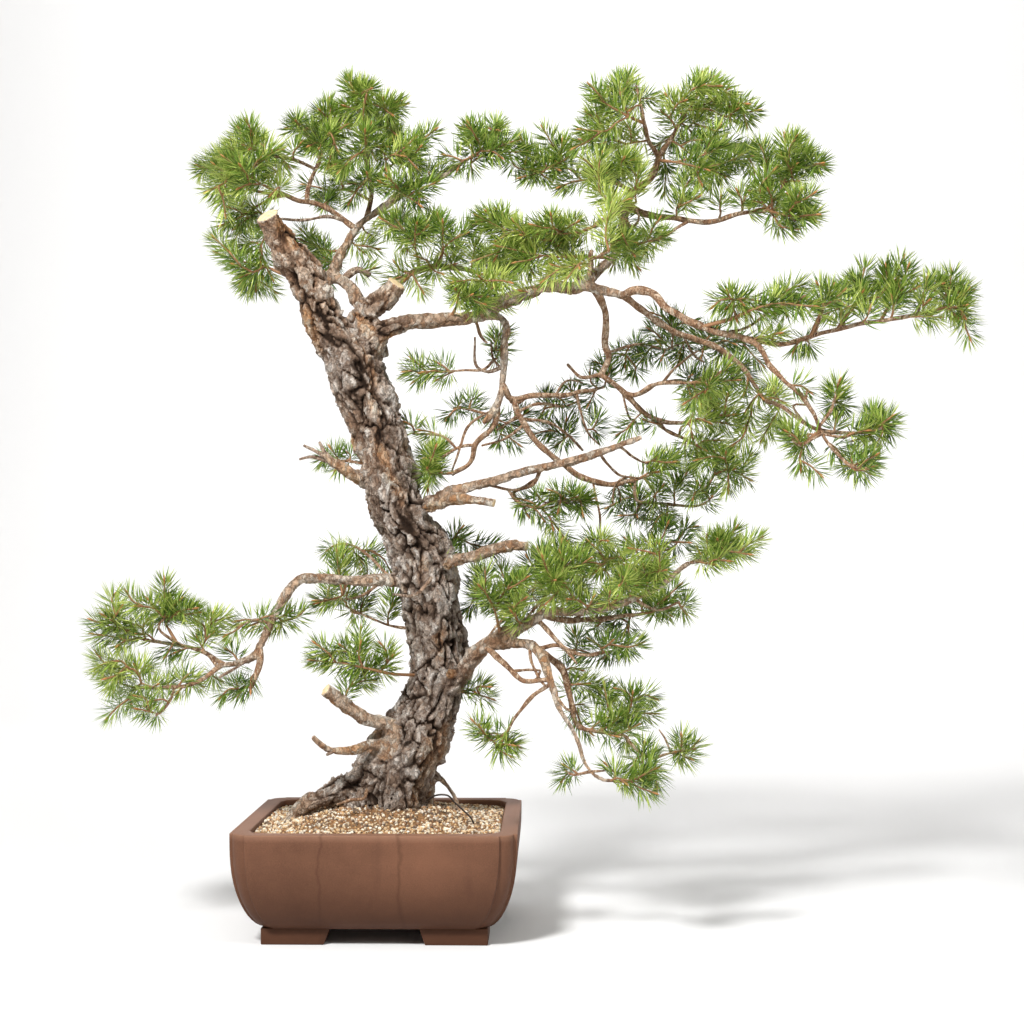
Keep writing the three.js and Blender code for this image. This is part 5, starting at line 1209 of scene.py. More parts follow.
# Sprays. Every leafy twig end: a slim forked twig, rust orange where it is new, an orange brown bud at each
# tip, and paired stiff needles set round the last years' growth, leaning out at its foot and forward at its
# tip. Needles are bent three-sided blades. Each spray stands for the model's node of the same name.
SPRAYS = {
    "left_pad_1": [[(-157, 1071, 6), (-176, 1080, -6)],
                   [(-204, 1098, -18), (-236, 1122, -30)], [0.35, (-186, 1122, -40)], [(-215, 1078, -50)]],
    "left_pad_2": [[(-150, 1068, 9), (-176, 1070, 24), (-194, 1074, 32)],
                   [(-234, 1094, 36), (-274, 1110, 34)], [(-236, 1060, 62)], [0.4, (-240, 1118, 66)]],
    "left_pad_3": [[(-146, 1066, 10), (-168, 1062, 26), (-184, 1054, 30)],
                   [(-212, 1036, 24), (-240, 1024, 8)], [(-208, 1024, 70)]],
    "left_pad_4": [[(-176, 1128, -1), (-184, 1131, -4)], [(-199, 1154, -18)], [(-226, 1148, 14)]],
    "left_pad_5": [[(-126, 944, -14), (-150, 950, 2), (-168, 958, 8)],
                   [(-206, 968, 14), (-246, 981, 20)], [(-212, 938, 34)]],
    "crown_1": [[(-62, 984, 32), (-76, 984, 52)], [(-122, 1000, 74)], [(-98, 952, 84)]],
    "crown_2": [[(-98, 1116, 24), (-93, 1130, 22)],
                [(-128, 1172, 16)], [(-88, 1176, 40), (-84, 1204, 46)], [(-112, 1140, -26)]],
    "crown_3": [[(-27, 1156, 43), (-27, 1166, 41)], [(-38, 1232, 36)], [(16, 1204, 18)], [(-58, 1198, 6)]],
    "crown_4": [[(-25, 1108, 46), (-30, 1118, 24), (-30, 1128, 8)], [(-30, 1160, -44)], [(-66, 1104, -34)]],
    "crown_5": [[(-23, 1084, 44), (-4, 1102, 38), (8, 1110, 32)],
                [(52, 1152, 26)], [(48, 1106, -6)], [(12, 1164, 66)]],
    "crown_6": [[(14, 1062, 32), (22, 1066, 12)], [(50, 1052, -24)], [(4, 1092, -40)]],
    "crown_7": [[(-22, 1058, 42), (-44, 1070, 62), (-56, 1074, 72)], [(-98, 1062, 96)], [(-66, 1108, 118)]],
    "crown_8": [[(124, 1121, 17), (132, 1126, 15)], [(124, 1164, 0)], [(168, 1166, 30)], [(170, 1122, -14)]],
    "middle_1": [[(50, 957, 36), (48, 972, 22), (46, 980, 14)], [(12, 1034, -14)], [(46, 1022, -44)]],
    "middle_2": [[(76, 960, 34), (82, 974, 18), (84, 982, 8)], [(78, 1032, -18)], [(116, 1008, -28)]],
    "middle_3": [[(130, 953, 20), (140, 950, 17)], [(178, 952, -2)], [(142, 982, 66)]],
    "middle_4": [[(98, 884, -16), (104, 900, -32)], [(104, 926, -82)], [(146, 916, -74)]],
    "brush_1": [[(312, 1020, -4), (290, 1012, -14), (278, 1010, -18)],
                [(224, 1008, -26), (180, 1014, -30), (138, 1034, -32)], [0.15, (244, 1034, -60)]],
    "brush_2": [[(334, 974, 3), (296, 974, -8), (262, 974, -20)],
                [(220, 978, -32), (168, 990, -40)], [0.5, (180, 968, 6)]],
    "brush_3": [[(366, 1072, 26), (338, 1082, 23), (318, 1087, 20)],
                [(272, 1104, 16), (228, 1108, 14), (202, 1146, 12)], [0.4, (260, 1142, -4)],
                [(258, 1078, -14)]],
    "upper_right_1": [[(345, 1080, 24), (338, 1088, 0)], [(326, 1098, -66)], [(362, 1116, -52)]],
    "upper_right_2": [[(380, 1172, -5), (364, 1178, -16)],
                      [(326, 1160, -34), (290, 1162, -42)], [(312, 1208, -30)], [(344, 1238, 4)]],
    "upper_right_3": [[(434, 1172, 35), (441, 1184, 37)],
                      [(490, 1198, 46)], [(478, 1234, 22)], [(500, 1180, 10), (516, 1190, -20)]],
    "upper_right_4": [[(400, 1114, 20), (420, 1114, 10)],
                      [(462, 1104, 30), (510, 1116, 50), (540, 1134, 54)], [(472, 1102, -50)],
                      [(496, 1136, -14)]],
    "upper_right_5": [[(560, 1041, -7), (580, 1068, -4), (586, 1084, -2)], [(608, 1142, 0)],
                      [(640, 1108, -24)]],
    "upper_right_6": [[(562, 1041, -8), (580, 1036, -18)], [(622, 1032, -34)], [(608, 1066, -56)]],
    "upper_right_7": [[(345, 994, 12), (352, 990, -10)], [(408, 1004, -46)], [(366, 976, -78)]],
    "far_right_1": [[(806, 895, -49), (818, 898, -48)], [(850, 921, -46)], [(848, 884, -80)],
                    [(800, 942, -30)]],
    "far_right_2": [[(726, 879, -59), (733, 894, -52)], [(734, 956, -44)], [(776, 926, -70)]],
    "far_right_3": [[(664, 867, -66), (678, 888, -60), (688, 900, -56)], [(742, 914, -52)],
                    [(690, 938, -24)]],
    "far_right_4": [[(622, 857, -69), (634, 882, -78)], [(654, 926, -96)]],
    "far_right_5": [[(465, 872, -62), (500, 880, -72), (532, 893, -80)], [(566, 904, -86), (602, 906, -88)]],
    "down_right_1": [[(680, 714, -78), (688, 715, -79)], [(732, 724, -86)], [(716, 748, -52)]],
    "down_right_2": [[(672, 671, -97), (680, 667, -99)], [(710, 664, -110)]],
    "down_right_3": [[(638, 716, -90), (618, 704, -98)], [(588, 714, -112)], [(608, 666, -112)]],
    "mid_right_1": [[(448, 788, -13), (458, 789, -15)], [(504, 812, -24)], [(470, 776, -70)]],
    "mid_right_2": [[(448, 732, 29), (458, 733, 31)], [(520, 724, 40)], [(478, 762, 62)]],
    "mid_right_3": [[(440, 706, 45), (450, 700, 48)], [(500, 688, 56)], [(452, 668, 84)]],
    "mid_right_4": [[(360, 645, 25), (372, 648, 28)], [(420, 670, 24)], [(400, 604, 44), (416, 594, 48)]],
    "mid_right_5": [[(208, 610, -22), (222, 606, -16)], [(262, 614, -10), (300, 618, -6)],
                    [(246, 578, -34)]],
    "inner_1": [[(102, 656, 10), (90, 656, 8)], [(62, 664, -62)], [(84, 700, 44)]],
    "lower_bough_1": [[(468, 529, -21), (478, 532, -20)], [(516, 548, -18)], [(490, 564, -60)]],
    "lower_bough_2": [[(330, 461, -58), (346, 480, -66)], [(392, 514, -60)], [(346, 506, -118)]],
    "lower_bough_3": [[(372, 450, -20), (384, 453, -16)], [(420, 470, -4)]],
    "lower_bough_4": [[(168, 417, -57), (164, 446, -72)], [(190, 500, -100)], [(140, 490, -122)]],
    "lower_bough_5": [[(224, 444, -63), (236, 478, -72)], [(226, 544, -68)], [(288, 540, -78)],
                      [(250, 500, -132)]],
    "lower_right_1": [[(334, 206, -91), (344, 206, -90)], [(384, 208, -92)], [(392, 248, -70)]],
    "lower_right_2": [[(296, 280, -53), (306, 281, -54)], [(342, 300, -62)], [(330, 322, -26)]],
    "lower_right_3": [[(178, 276, -107), (168, 270, -110)], [(142, 282, -112)], [(182, 244, -126)]],
    "left_branch_1": [[(-346, 411, -35), (-356, 413, -33)], [(-404, 448, -30)], [(-392, 404, -60)]],
    "left_branch_2": [[(-306, 405, -41), (-318, 428, -34)], [(-320, 476, -26)], [(-280, 458, -70)]],
    "left_branch_3": [[(-352, 342, -45), (-362, 342, -42)], [(-418, 362, -34)], [(-372, 316, -76)]],
    "beside_trunk_1": [[(-58, 500, -43), (-60, 484, -30)], [(-98, 470, -22)], [(-70, 540, -12)]],
    "beside_trunk_2": [[(70, 360, 4), (8, 363, -46), (-24, 370, -56)],
                       [(-62, 378, -60), (-104, 382, -62)], [(-36, 404, -70)]],
}
NEEDLE_LENGTH = 0.0325
NEEDLE_HALF = 0.00082
PAIR_STEP = 0.00082
GOLDEN = math.radians(137.5)


def unit(v):
    return v / np.linalg.norm(v)


leaf_low = np.array(cad_box[0]) + 0.0006
leaf_high = np.array(cad_box[1]) - 0.0006


class Spray:
    """Gathers one spray's stems and needles, and makes them one piece."""

    def __init__(self, name, seed, shade=0.5):
        self.name = name
        self.draw = np.random.default_rng(seed)
        self.shade = shade
        self.stems = []
        self.blades = []

    def stem(self, line, thick, tone):
        shell = limb_shell(line, thick, 6)
        self.stems.append((shell, tone))

    def shoot(self, points, bare=0.0, full=1.0, start=0.0018):
        """A leafy shoot along points, with no needles on its first bare share."""
        draw = self.draw
        line, share = smooth_route(points, 0.004)
        run = np.linalg.norm(np.diff(line, axis=0), axis=1).sum()
        thick = start + (0.0010 - start) * share
        thick[-2:] *= (1.5, 1.35)
        self.stem(line, thick, 0.35)
        along, side, up = turned_along(line)
        tip = line[-1]
        bud, _ = smooth_route([tip, tip + 0.004 * along[-1], tip + 0.010 * along[-1]], 0.002)
        self.stem(bud, np.interp(np.linspace(0, 1, len(bud)), [0, 0.35, 1], [0.0013, 0.0019, 0.0004]), 1.0)
        leafy = min(run * (1 - bare), 0.052 + 0.024 * draw.random())
        pairs = max(8, int(leafy / PAIR_STEP * full))
        back = np.sort(draw.random(pairs)) * leafy
        place = 1 - back / run
        index = place * (len(line) - 1)
        low = np.clip(index.astype(int), 0, len(line) - 2)
        part = (index - low)[:, None]
        root = line[low] * (1 - part) + line[low + 1] * part
        t, n, b = along[low], side[low], up[low]
        forward = 1 - back / leafy
        turn = np.arange(pairs) * GOLDEN + draw.random() * 6.3
        lean = np.radians(74 - 46 * forward**1.6) + draw.normal(0, 0.10, pairs)
        age = np.clip(0.75 - 0.75 * forward + draw.normal(0, 0.1, pairs), 0, 1)
        for twin in (-1, 1):
            angle = turn + twin * 0.09 + draw.normal(0, 0.03, pairs)
            tilt = lean + twin * 0.03 + draw.normal(0, 0.04, pairs)
            out = np.cos(angle)[:, None] * n + np.sin(angle)[:, None] * b
            way = np.cos(tilt)[:, None] * t + np.sin(tilt)[:, None] * out
            way[:, 2] += 0.06
            way /= np.linalg.norm(way, axis=1)[:, None]
            reach = NEEDLE_LENGTH * (0.88 + 0.2 * draw.random(pairs)) * (0.82 + 0.18 * np.sin(3.1 * forward + 0.2))
            bend = np.cross(np.cross(way, t), way)
            bend *= (0.10 * reach * draw.normal(1, 0.5, pairs))[:, None]
            self.blades.append((root + 0.0012 * out, way, reach, bend, age))

    def side_shoots(self, points, number, length, shade_up=0.25):
        """Shorter shoots that leave a shoot on its way, turned a little to the light."""
        draw = self.draw
        line, _ = smooth_route(points, 0.004)
        along, side, up = turned_along(line)
        turn = draw.random() * 6.3
        for i in range(number):
            k = int((0.30 + 0.5 * (i + draw.random()) / number) * (len(line) - 1))
            turn += 2.4 + 0.5 * draw.random()
            out = math.cos(turn) * side[k] + math.sin(turn) * up[k]
            way = unit(0.72 * along[k] + 0.75 * out + np.array([0, 0, shade_up]))
            reach = length * (0.75 + 0.5 * draw.random())
            bent = unit(way + 0.35 * along[k])
            start = line[k]
            self.shoot([start, start + 0.5 * reach * way, start + 0.5 * reach * (way + bent)], 0.25, 0.9, 0.0016)

    def made(self, replaced=None):
        corners, faces, tints, kinds = [], [], [], []
        count = 0
        for (ring, sides), tone in self.stems:
            corners.append(ring)
            faces.extend([[i + count for i in face] for face in sides])
            tints.append(np.tile([tone, self.draw.random(), 0.5, 1], (len(ring), 1)))
            kinds += [1] * len(sides)
            count += len(ring)
        root = np.concatenate([x[0] for x in self.blades])
        way = np.concatenate([x[1] for x in self.blades])
        reach = np.concatenate([x[2] for x in self.blades])[:, None]
        bend = np.concatenate([x[3] for x in self.blades])
        age = np.concatenate([x[4] for x in self.blades])
        flat = np.cross(way, [0.31, 0.57, 0.76])
        flat /= np.linalg.norm(flat, axis=1)[:, None]
        edge = np.cross(way, flat)
        middle = root + 0.42 * reach * way + 0.2 * bend + 0.55 * NEEDLE_HALF * edge
        tip = np.clip(root + reach * way + bend, leaf_low, leaf_high)
        blade = np.stack([root, middle - NEEDLE_HALF * flat, middle + NEEDLE_HALF * flat, tip], axis=1)
        shape = [(0, 1, 2), (3, 2, 1), (0, 3, 1), (0, 2, 3)]
        amount = len(root)
        offsets = (count + 4 * np.arange(amount))[:, None, None]
        blade_faces = (offsets + np.array(shape)[None]).reshape(-1, 3)
        corners.append(blade.reshape(-1, 3))
        faces.extend(blade_faces.tolist())
        kinds += [0] * len(blade_faces)
        # The needles' tone starts from the spray's painted shade and light, with a random spread per needle.
        tone = np.clip(self.shade + self.draw.normal(0, 0.21, amount), 0, 1)
        length_mark = np.tile([0, 0.42, 0.42, 1], (amount, 1))
        colour = np.ones((amount, 4, 4))
        colour[:, :, 0] = tone[:, None]
        colour[:, :, 1] = length_mark
        colour[:, :, 2] = age[:, None]
        tints.append(colour.reshape(-1, 4))
        piece = loose_mesh(self.name, np.concatenate(corners), faces, np.concatenate(tints), "leaf")
        piece.data.materials.append(NEEDLES)
        piece.data.materials.append(SHOOTS)
        piece.data.polygons.foreach_set("material_index", kinds)
        smooth = [kind == 1 for kind in kinds]
        piece.data.polygons.foreach_set("use_smooth", smooth)
        if replaced:
            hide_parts(replaced)
        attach(piece, "root")
        return piece


finish, nodes, links, shader = new_finish("pine_needles", 0.38)
place = nodes.new("ShaderNodeTexCoord")
season = nodes.new("ShaderNodeTexNoise")
season.inputs["Scale"].default_value = 16
season.inputs["Detail"].default_value = 1
links.new(place.outputs["Object"], season.inputs["Vector"])
leaf = nodes.new("ShaderNodeAttribute")
leaf.attribute_name = "leaf"
grades = nodes.new("ShaderNodeSeparateColor")
links.new(leaf.outputs["Color"], grades.inputs["Color"])
uneven = nodes.new("ShaderNodeMath")
uneven.operation = "MULTIPLY_ADD"
uneven.inputs[1].default_value = 0.35
uneven.use_clamp = True
links.new(season.outputs["Fac"], uneven.inputs[0])
links.new(grades.outputs["Red"], uneven.inputs[2])
green = ramp_of(
    nodes, links, uneven.outputs[0], (0.1, (0.010, 0.032, 0.006, 1)), (0.42, (0.060, 0.135, 0.016, 1)),
    (0.72, (0.20, 0.32, 0.036, 1)), (1.0, (0.57, 0.65, 0.16, 1)),
)
# Painted highlight: the outer half of each needle is lightened towards its tip, as if lit, while the root keeps the
# darker tone.
painted_tip_highlight = nodes.new("ShaderNodeMapRange")
painted_tip_highlight.inputs["From Min"].default_value = 0.5
painted_tip_highlight.inputs["To Max"].default_value = 0.30
links.new(grades.outputs["Green"], painted_tip_highlight.inputs["Value"])
light = blend_of(nodes, links, painted_tip_highlight.outputs["Result"], green, (0.54, 0.60, 0.16, 1))
old = nodes.new("ShaderNodeMapRange")
old.inputs["From Min"].default_value = 0.90
old.inputs["From Max"].default_value = 0.98
old.inputs["To Max"].default_value = 0.75
links.new(grades.outputs["Blue"], old.inputs["Value"])
golden = blend_of(nodes, links, old.outputs["Result"], light, (0.52, 0.36, 0.05, 1))
links.new(golden, shader.inputs["Base Color"])
shader.inputs["Specular IOR Level"].default_value = 0.3
NEEDLES = finish

finish, nodes, links, shader = new_finish("young_shoots", 0.6)
mottle = mottle_in(nodes, 260.0, 1400.0, 0.5)
leaf = nodes.new("ShaderNodeAttribute")
leaf.attribute_name = "leaf"
grades = nodes.new("ShaderNodeSeparateColor")
links.new(leaf.outputs["Color"], grades.inputs["Color"])
woody = ramp_of(
    nodes, links, mottle.outputs["Mask"], (0.0, (0.14, 0.07, 0.035, 1)), (1.0, (0.36, 0.20, 0.11, 1))
)
rust = ramp_of(
    nodes, links, mottle.outputs["Mask"], (0.0, (0.34, 0.13, 0.035, 1)), (1.0, (0.62, 0.30, 0.10, 1))
)
new_wood = blend_of(nodes, links, grades.outputs["Red"], woody, rust)
links.new(new_wood, shader.inputs["Base Color"])
relief_of(nodes, links, shader, mottle.outputs["Height"], 0.6, 0.0006)
SHOOTS = finish


def carrier(point):
    """The middle of the wood nearest to a place."""
    return min((s for s, _ in axis_spots), key=lambda s: float(np.sum((s - point) ** 2)))


for number, (name, (twig, *shoots)) in enumerate(SPRAYS.items()):
    spray = Spray(name + "_foliage", 100 + number, 0.50)
    points = [seen(p) for p in twig]
    points[0] = carrier(points[0])
    line, share = smooth_route(points, 0.005)
    spray.stem(line, 0.0027 - 0.0005 * share, 0.3)
    foot, way = line[-1], unit(line[-1] - line[-2])
    extra = deeper(twig[-1])
    fork = foot + 0.009 * way
    first = None
    for drawn in shoots:
        branches = isinstance(drawn[0], float)
        tips = [seen(p, extra) for p in (drawn[1:] if branches else drawn)]
        start = fork if first is None or not branches else first[int(drawn[0] * (len(first) - 1))]
        bend = start + 0.5 * (tips[0] - start) + 0.12 * np.linalg.norm(tips[0] - start) * way
        route = ([foot, fork] if first is None else [start]) + [bend, *tips]
        if first is None:
            first, _ = smooth_route(route, 0.004)
        spray.shoot(route, 0.12)
        spray.side_shoots(route, 1, 0.038)
    spray.made(name)

# The rest of the foliage, shoot by shoot: front and back depth, tone from dark to light, the spacing of the
# shoot tips, and the outline of the tips as x, z pairs. The tone is painted shade and light: masses seen deep in
# the crown get darker needles, masses in front lighter ones.
MASSES = {
    "left_pad": (-30, 60, 0.66, 23, (-288, 1100, -262, 1126, -228, 1162, -205, 1168, -180, 1150, -140, 1140, -135,
                 1112, -160, 1096, -168, 1060, -172, 1020, -215, 1012, -240, 1030, -262, 1065)),
    "left_low": (-10, 50, 0.5, 21, (-245, 985, -215, 1000, -185, 985, -160, 965, -150, 930, -180, 920, -210, 935,
                 -235, 955)),
    "behind_leader": (50, 80, 0.4, 22, (-120, 1000, -95, 985, -85, 965, -105, 965, -120, 985)),
    "crown_left": (-20, 60, 0.55, 23, (-135, 1175, -100, 1200, -60, 1190, -60, 1150, -80, 1110, -110, 1120, -140,
                   1140)),
    "crown_top": (-30, 60, 0.55, 22, (-60, 1190, -50, 1220, -20, 1228, 15, 1205, 10, 1180, 20, 1150, 45, 1150, 50,
                  1110, 10, 1100, -20, 1110, -60, 1130, -60, 1160)),
    "crown_low": (-20, 80, 0.42, 25, (-90, 1060, -60, 1100, -20, 1100, 30, 1100, 60, 1070, 50, 1045, 20, 1060,
                  -20, 1080, -50, 1055)),
    "crown_end": (0, 40, 0.5, 20, (60, 1100, 100, 1140, 120, 1165, 150, 1150, 165, 1165, 175, 1140, 150, 1108,
                  110, 1090, 80, 1085)),
    "middle": (0, 60, 0.62, 22, (-45, 1000, -20, 1020, 10, 1035, 50, 1030, 85, 1035, 115, 1010, 115, 975, 90, 940,
               60, 915, 40, 920, 0, 945, -35, 965)),
    "on_b": (-80, -20, 0.74, 20, (95, 930, 110, 945, 150, 945, 200, 945, 212, 925, 190, 897, 150, 898, 110, 902)),
    "brush_1": (-40, 10, 0.64, 20, (130, 1040, 150, 1050, 180, 1030, 230, 1025, 270, 1035, 290, 1045, 300, 1020,
                270, 990, 220, 990, 160, 995, 130, 1015)),
    "brush_2": (-30, 10, 0.58, 20, (115, 995, 150, 1005, 220, 1000, 280, 1000, 300, 965, 270, 945, 230, 940, 170,
                955, 120, 975)),
    "gap_brush": (0, 30, 0.5, 20, (185, 1125, 200, 1145, 215, 1130, 245, 1130, 262, 1140, 270, 1110, 250, 1085,
                  215, 1100)),
    "right_top_left": (-20, 30, 0.68, 23, (285, 1150, 290, 1180, 300, 1205, 330, 1225, 355, 1215, 370, 1190, 375,
                       1150, 340, 1130, 300, 1125)),
    "right_stars": (-60, 20, 0.74, 22, (290, 1120, 330, 1125, 370, 1125, 385, 1090, 370, 1050, 330, 1045, 300,
                    1070)),
    "right_top": (0, 50, 0.62, 23, (390, 1210, 420, 1215, 450, 1230, 490, 1235, 530, 1205, 530, 1170, 490, 1155,
                  440, 1150, 400, 1170)),
    "right_middle": (-20, 50, 0.5, 23, (400, 1145, 440, 1150, 500, 1140, 555, 1145, 570, 1110, 570, 1080, 545,
                     1050, 520, 1050, 490, 1060, 450, 1050, 410, 1060, 395, 1100)),
    "right_end": (-30, 20, 0.5, 21, (580, 1120, 600, 1150, 630, 1130, 640, 1100, 610, 1070, 630, 1040, 600, 1010,
                  580, 1020, 540, 1030, 550, 1060, 575, 1080)),
    "low_centre": (-40, 10, 0.6, 20, (330, 1010, 350, 1030, 390, 1020, 415, 1005, 400, 980, 370, 955, 340, 960,
                   325, 985)),
    "on_c": (-80, -40, 0.74, 22, (215, 945, 240, 965, 290, 960, 290, 940, 250, 932)),
    "far_left": (-90, -60, 0.52, 18, (480, 900, 500, 925, 515, 905, 550, 915, 590, 925, 625, 945, 645, 925, 640,
                 900, 600, 885, 560, 885, 520, 882)),
    "far_middle": (-70, -30, 0.5, 19, (630, 885, 650, 920, 680, 940, 720, 930, 740, 955, 760, 930, 750, 900, 715,
                   890, 690, 900, 680, 885, 650, 880)),
    "far_end": (-70, -30, 0.6, 18, (785, 905, 790, 945, 815, 940, 830, 905, 855, 925, 860, 890, 820, 880, 790,
                885)),
    "far_star": (-80, -60, 0.7, 16, (560, 850, 565, 868, 580, 860)),
    "far_under": (-70, -50, 0.45, 18, (585, 835, 610, 845, 635, 838, 610, 828)),
    "down_up": (-80, -60, 0.5, 16, (645, 740, 650, 775, 665, 790, 680, 760, 670, 735)),
    "down_right": (-90, -60, 0.5, 18, (690, 705, 700, 735, 735, 735, 740, 715, 715, 695)),
    "down_low": (-110, -80, 0.42, 18, (665, 700, 690, 690, 715, 675, 710, 655, 675, 655, 665, 680)),
    "down_left": (-110, -80, 0.5, 18, (580, 715, 590, 725, 615, 705, 610, 685, 590, 695)),
    "down_tuft": (-96, -88, 0.5, 18, (612, 765, 618, 782, 628, 775)),
    "b_tuft": (10, 30, 0.45, 18, (150, 860, 180, 865, 190, 840, 160, 825)),
    "hook_tuft": (0, 20, 0.5, 18, (20, 808, 40, 826, 84, 826, 88, 795, 45, 792)),
    "behind_b": (20, 60, 0.35, 19, (90, 735, 100, 765, 130, 768, 155, 750, 120, 735)),
    "behind_trunk": (10, 30, 0.55, 20, (25, 735, 40, 742, 60, 725, 50, 712)),
    "inner": (-20, 50, 0.45, 20, (50, 690, 85, 700, 85, 670, 62, 632, 48, 650)),
    "dark_left": (38, 66, 0.27, 22, (165, 695, 165, 735, 200, 740, 230, 785, 300, 780, 320, 740, 320, 705, 280,
                  695, 230, 700)),
    "dark_top": (28, 66, 0.3, 21, (300, 800, 320, 830, 380, 850, 390, 805, 340, 795)),
    "dark_right": (22, 66, 0.33, 22, (375, 860, 385, 895, 440, 880, 520, 862, 555, 835, 550, 800, 480, 765, 440,
                   775, 440, 810, 400, 820, 380, 835)),
    "yellow": (-10, 35, 0.66, 22, (450, 780, 500, 770, 570, 790, 585, 760, 570, 712, 520, 692, 450, 682, 440, 700)),
    "star_right": (0, 45, 0.5, 22, (385, 642, 395, 680, 440, 690, 550, 690, 540, 650, 500, 625, 470, 605, 430,
                   625)),
    "under_j": (-30, 0, 0.45, 22, (190, 600, 200, 630, 250, 638, 300, 625, 290, 600, 240, 588)),
    "dark_low": (22, 66, 0.3, 21, (320, 600, 330, 640, 370, 640, 372, 600, 420, 600, 430, 575, 390, 562, 370,
                 585)),
    "small": (20, 50, 0.45, 20, (345, 715, 350, 745, 390, 740, 385, 718)),
    "under_stub": (10, 50, 0.35, 21, (95, 560, 110, 575, 140, 560, 180, 545, 150, 540, 110, 545)),
    "r_dark": (0, 68, 0.3, 23, (115, 455, 118, 515, 150, 522, 200, 535, 235, 555, 300, 560, 350, 560, 400, 580,
               450, 585, 460, 560, 420, 520, 400, 470, 330, 440, 250, 440, 170, 440)),
    "r_front": (-90, -50, 0.62, 23, (150, 470, 190, 490, 230, 530, 290, 560, 340, 560, 400, 555, 420, 520, 380,
                490, 320, 470, 250, 470, 190, 450)),
    "r_side": (-50, -10, 0.5, 21, (370, 450, 380, 475, 450, 487, 440, 450)),
    "r_tip": (-50, 0, 0.6, 20, (460, 540, 470, 570, 500, 572, 520, 545, 555, 575, 550, 540, 510, 515, 470, 525)),
    "r_under": (-90, 0, 0.35, 21, (265, 395, 280, 430, 340, 440, 385, 410, 350, 390, 300, 385)),
    "low_group": (-70, -20, 0.5, 21, (268, 350, 280, 372, 330, 352, 345, 340, 405, 335, 400, 305, 370, 300, 368,
                  262, 330, 255, 285, 285, 272, 320)),
    "low_tuft": (-30, -10, 0.45, 18, (125, 335, 150, 345, 160, 325, 140, 318)),
    "low_hang": (-120, -100, 0.5, 20, (140, 275, 150, 290, 175, 270, 205, 262, 195, 248, 165, 262)),
    "low_left": (-96, -84, 0.45, 20, (250, 225, 262, 238, 280, 222, 260, 208)),
    "low_dot": (-96, -84, 0.45, 18, (318, 218, 324, 234, 332, 222)),
    "low_end": (-100, -70, 0.5, 20, (350, 205, 365, 232, 395, 225, 400, 200, 365, 192)),
    "low_far": (-90, -60, 0.5, 20, (420, 245, 435, 278, 460, 270, 468, 250, 440, 232)),
    "l_top": (-60, -20, 0.62, 19, (-425, 440, -410, 470, -390, 492, -370, 470, -345, 470, -350, 440, -365, 415,
              -400, 420)),
    "l_stub": (-60, -20, 0.5, 18, (-330, 445, -325, 475, -300, 480, -285, 465, -310, 445)),
    "l_star": (-70, -40, 0.64, 19, (-290, 440, -265, 458, -228, 452, -226, 420, -250, 406, -285, 406)),
    "l_near": (-60, -30, 0.5, 20, (-220, 440, -190, 446, -160, 452, -125, 466, -118, 450, -150, 432, -190, 430)),
    "l_brush": (-60, -30, 0.64, 19, (-436, 366, -420, 388, -380, 383, -350, 380, -320, 365, -270, 365, -240, 355,
                -250, 342, -300, 336, -350, 340, -400, 338)),
    "l_low": (-80, -50, 0.5, 19, (-375, 310, -365, 330, -340, 325, -325, 305, -345, 292)),
    "l_dark": (-80, -40, 0.32, 18, (-250, 345, -215, 352, -190, 342, -200, 325, -240, 325)),
    "l_spot": (-60, -40, 0.35, 16, (-325, 388, -310, 400, -298, 390, -310, 382)),
    "l_spot_2": (-70, -40, 0.35, 16, (-240, 388, -232, 402, -218, 394)),
    "beside_high": (20, 60, 0.5, 22, (-85, 545, -60, 563, -20, 545, 10, 530, 15, 502, -30, 502, -70, 505)),
    "beside_middle": (10, 60, 0.55, 22, (-82, 478, -40, 492, 10, 485, 15, 447, -40, 442, -80, 456)),
    "beside_low": (-60, -30, 0.5, 21, (-105, 388, -70, 402, -30, 410, 10, 405, 10, 360, -20, 347, -60, 362)),
    "behind_snag": (20, 50, 0.45, 20, (-98, 702, -75, 700, -50, 690, -55, 652, -92, 662)),
}


def inside(x, z, outline):
    crossed = False
    for (a, b), (c, d) in zip(outline, outline[1:] + outline[:1]):
        if (b > z) != (d > z) and x < (c - a) * (z - b) / (d - b) + a:
            crossed = not crossed
    return crossed


wood_spots = [s for s, radius in axis_spots if radius < 0.0125]
for number, (name, (front, back, shade, gap, flat)) in enumerate(MASSES.items()):
    outline = list(zip(flat[::2], flat[1::2]))
    chance = random.Random(500 + number)
    tips = []
    low_x, high_x = min(flat[::2]), max(flat[::2])
    low_z, high_z = min(flat[1::2]), max(flat[1::2])
    for _ in range(1500):
        x, z = chance.uniform(low_x, high_x), chance.uniform(low_z, high_z)
        if inside(x, z, outline) and all((x - a) ** 2 + (z - b) ** 2 > gap * gap for a, b, _ in tips):
            tips.append((x, z, chance.uniform(front, back)))
    spray = Spray(name + "_shoots", 700 + number, shade)
    stems = np.array(wood_spots)
    waiting = [seen(t) for t in tips]
    while waiting:
        gaps = [np.linalg.norm(stems - t, axis=1) for t in waiting]
        gaps = [np.where(g < 0.024, g + 1, g) for g in gaps]
        pick = min(range(len(waiting)), key=lambda i: gaps[i].min())
        tip = waiting.pop(pick)
        start = stems[gaps[pick].argmin()]
        length = np.linalg.norm(tip - start)
        sway = np.array([chance.gauss(0, 1), chance.gauss(0, 1), chance.gauss(0.6, 1)])
        bend = start + 0.5 * (tip - start) + 0.09 * length * sway
        route = [start, bend, tip]
        spray.shoot(route, 0.1)
        line, _ = smooth_route(route, 0.006)
        stems = np.vstack([stems, line[: max(1, int(0.75 * len(line)))]])
    spray.made()


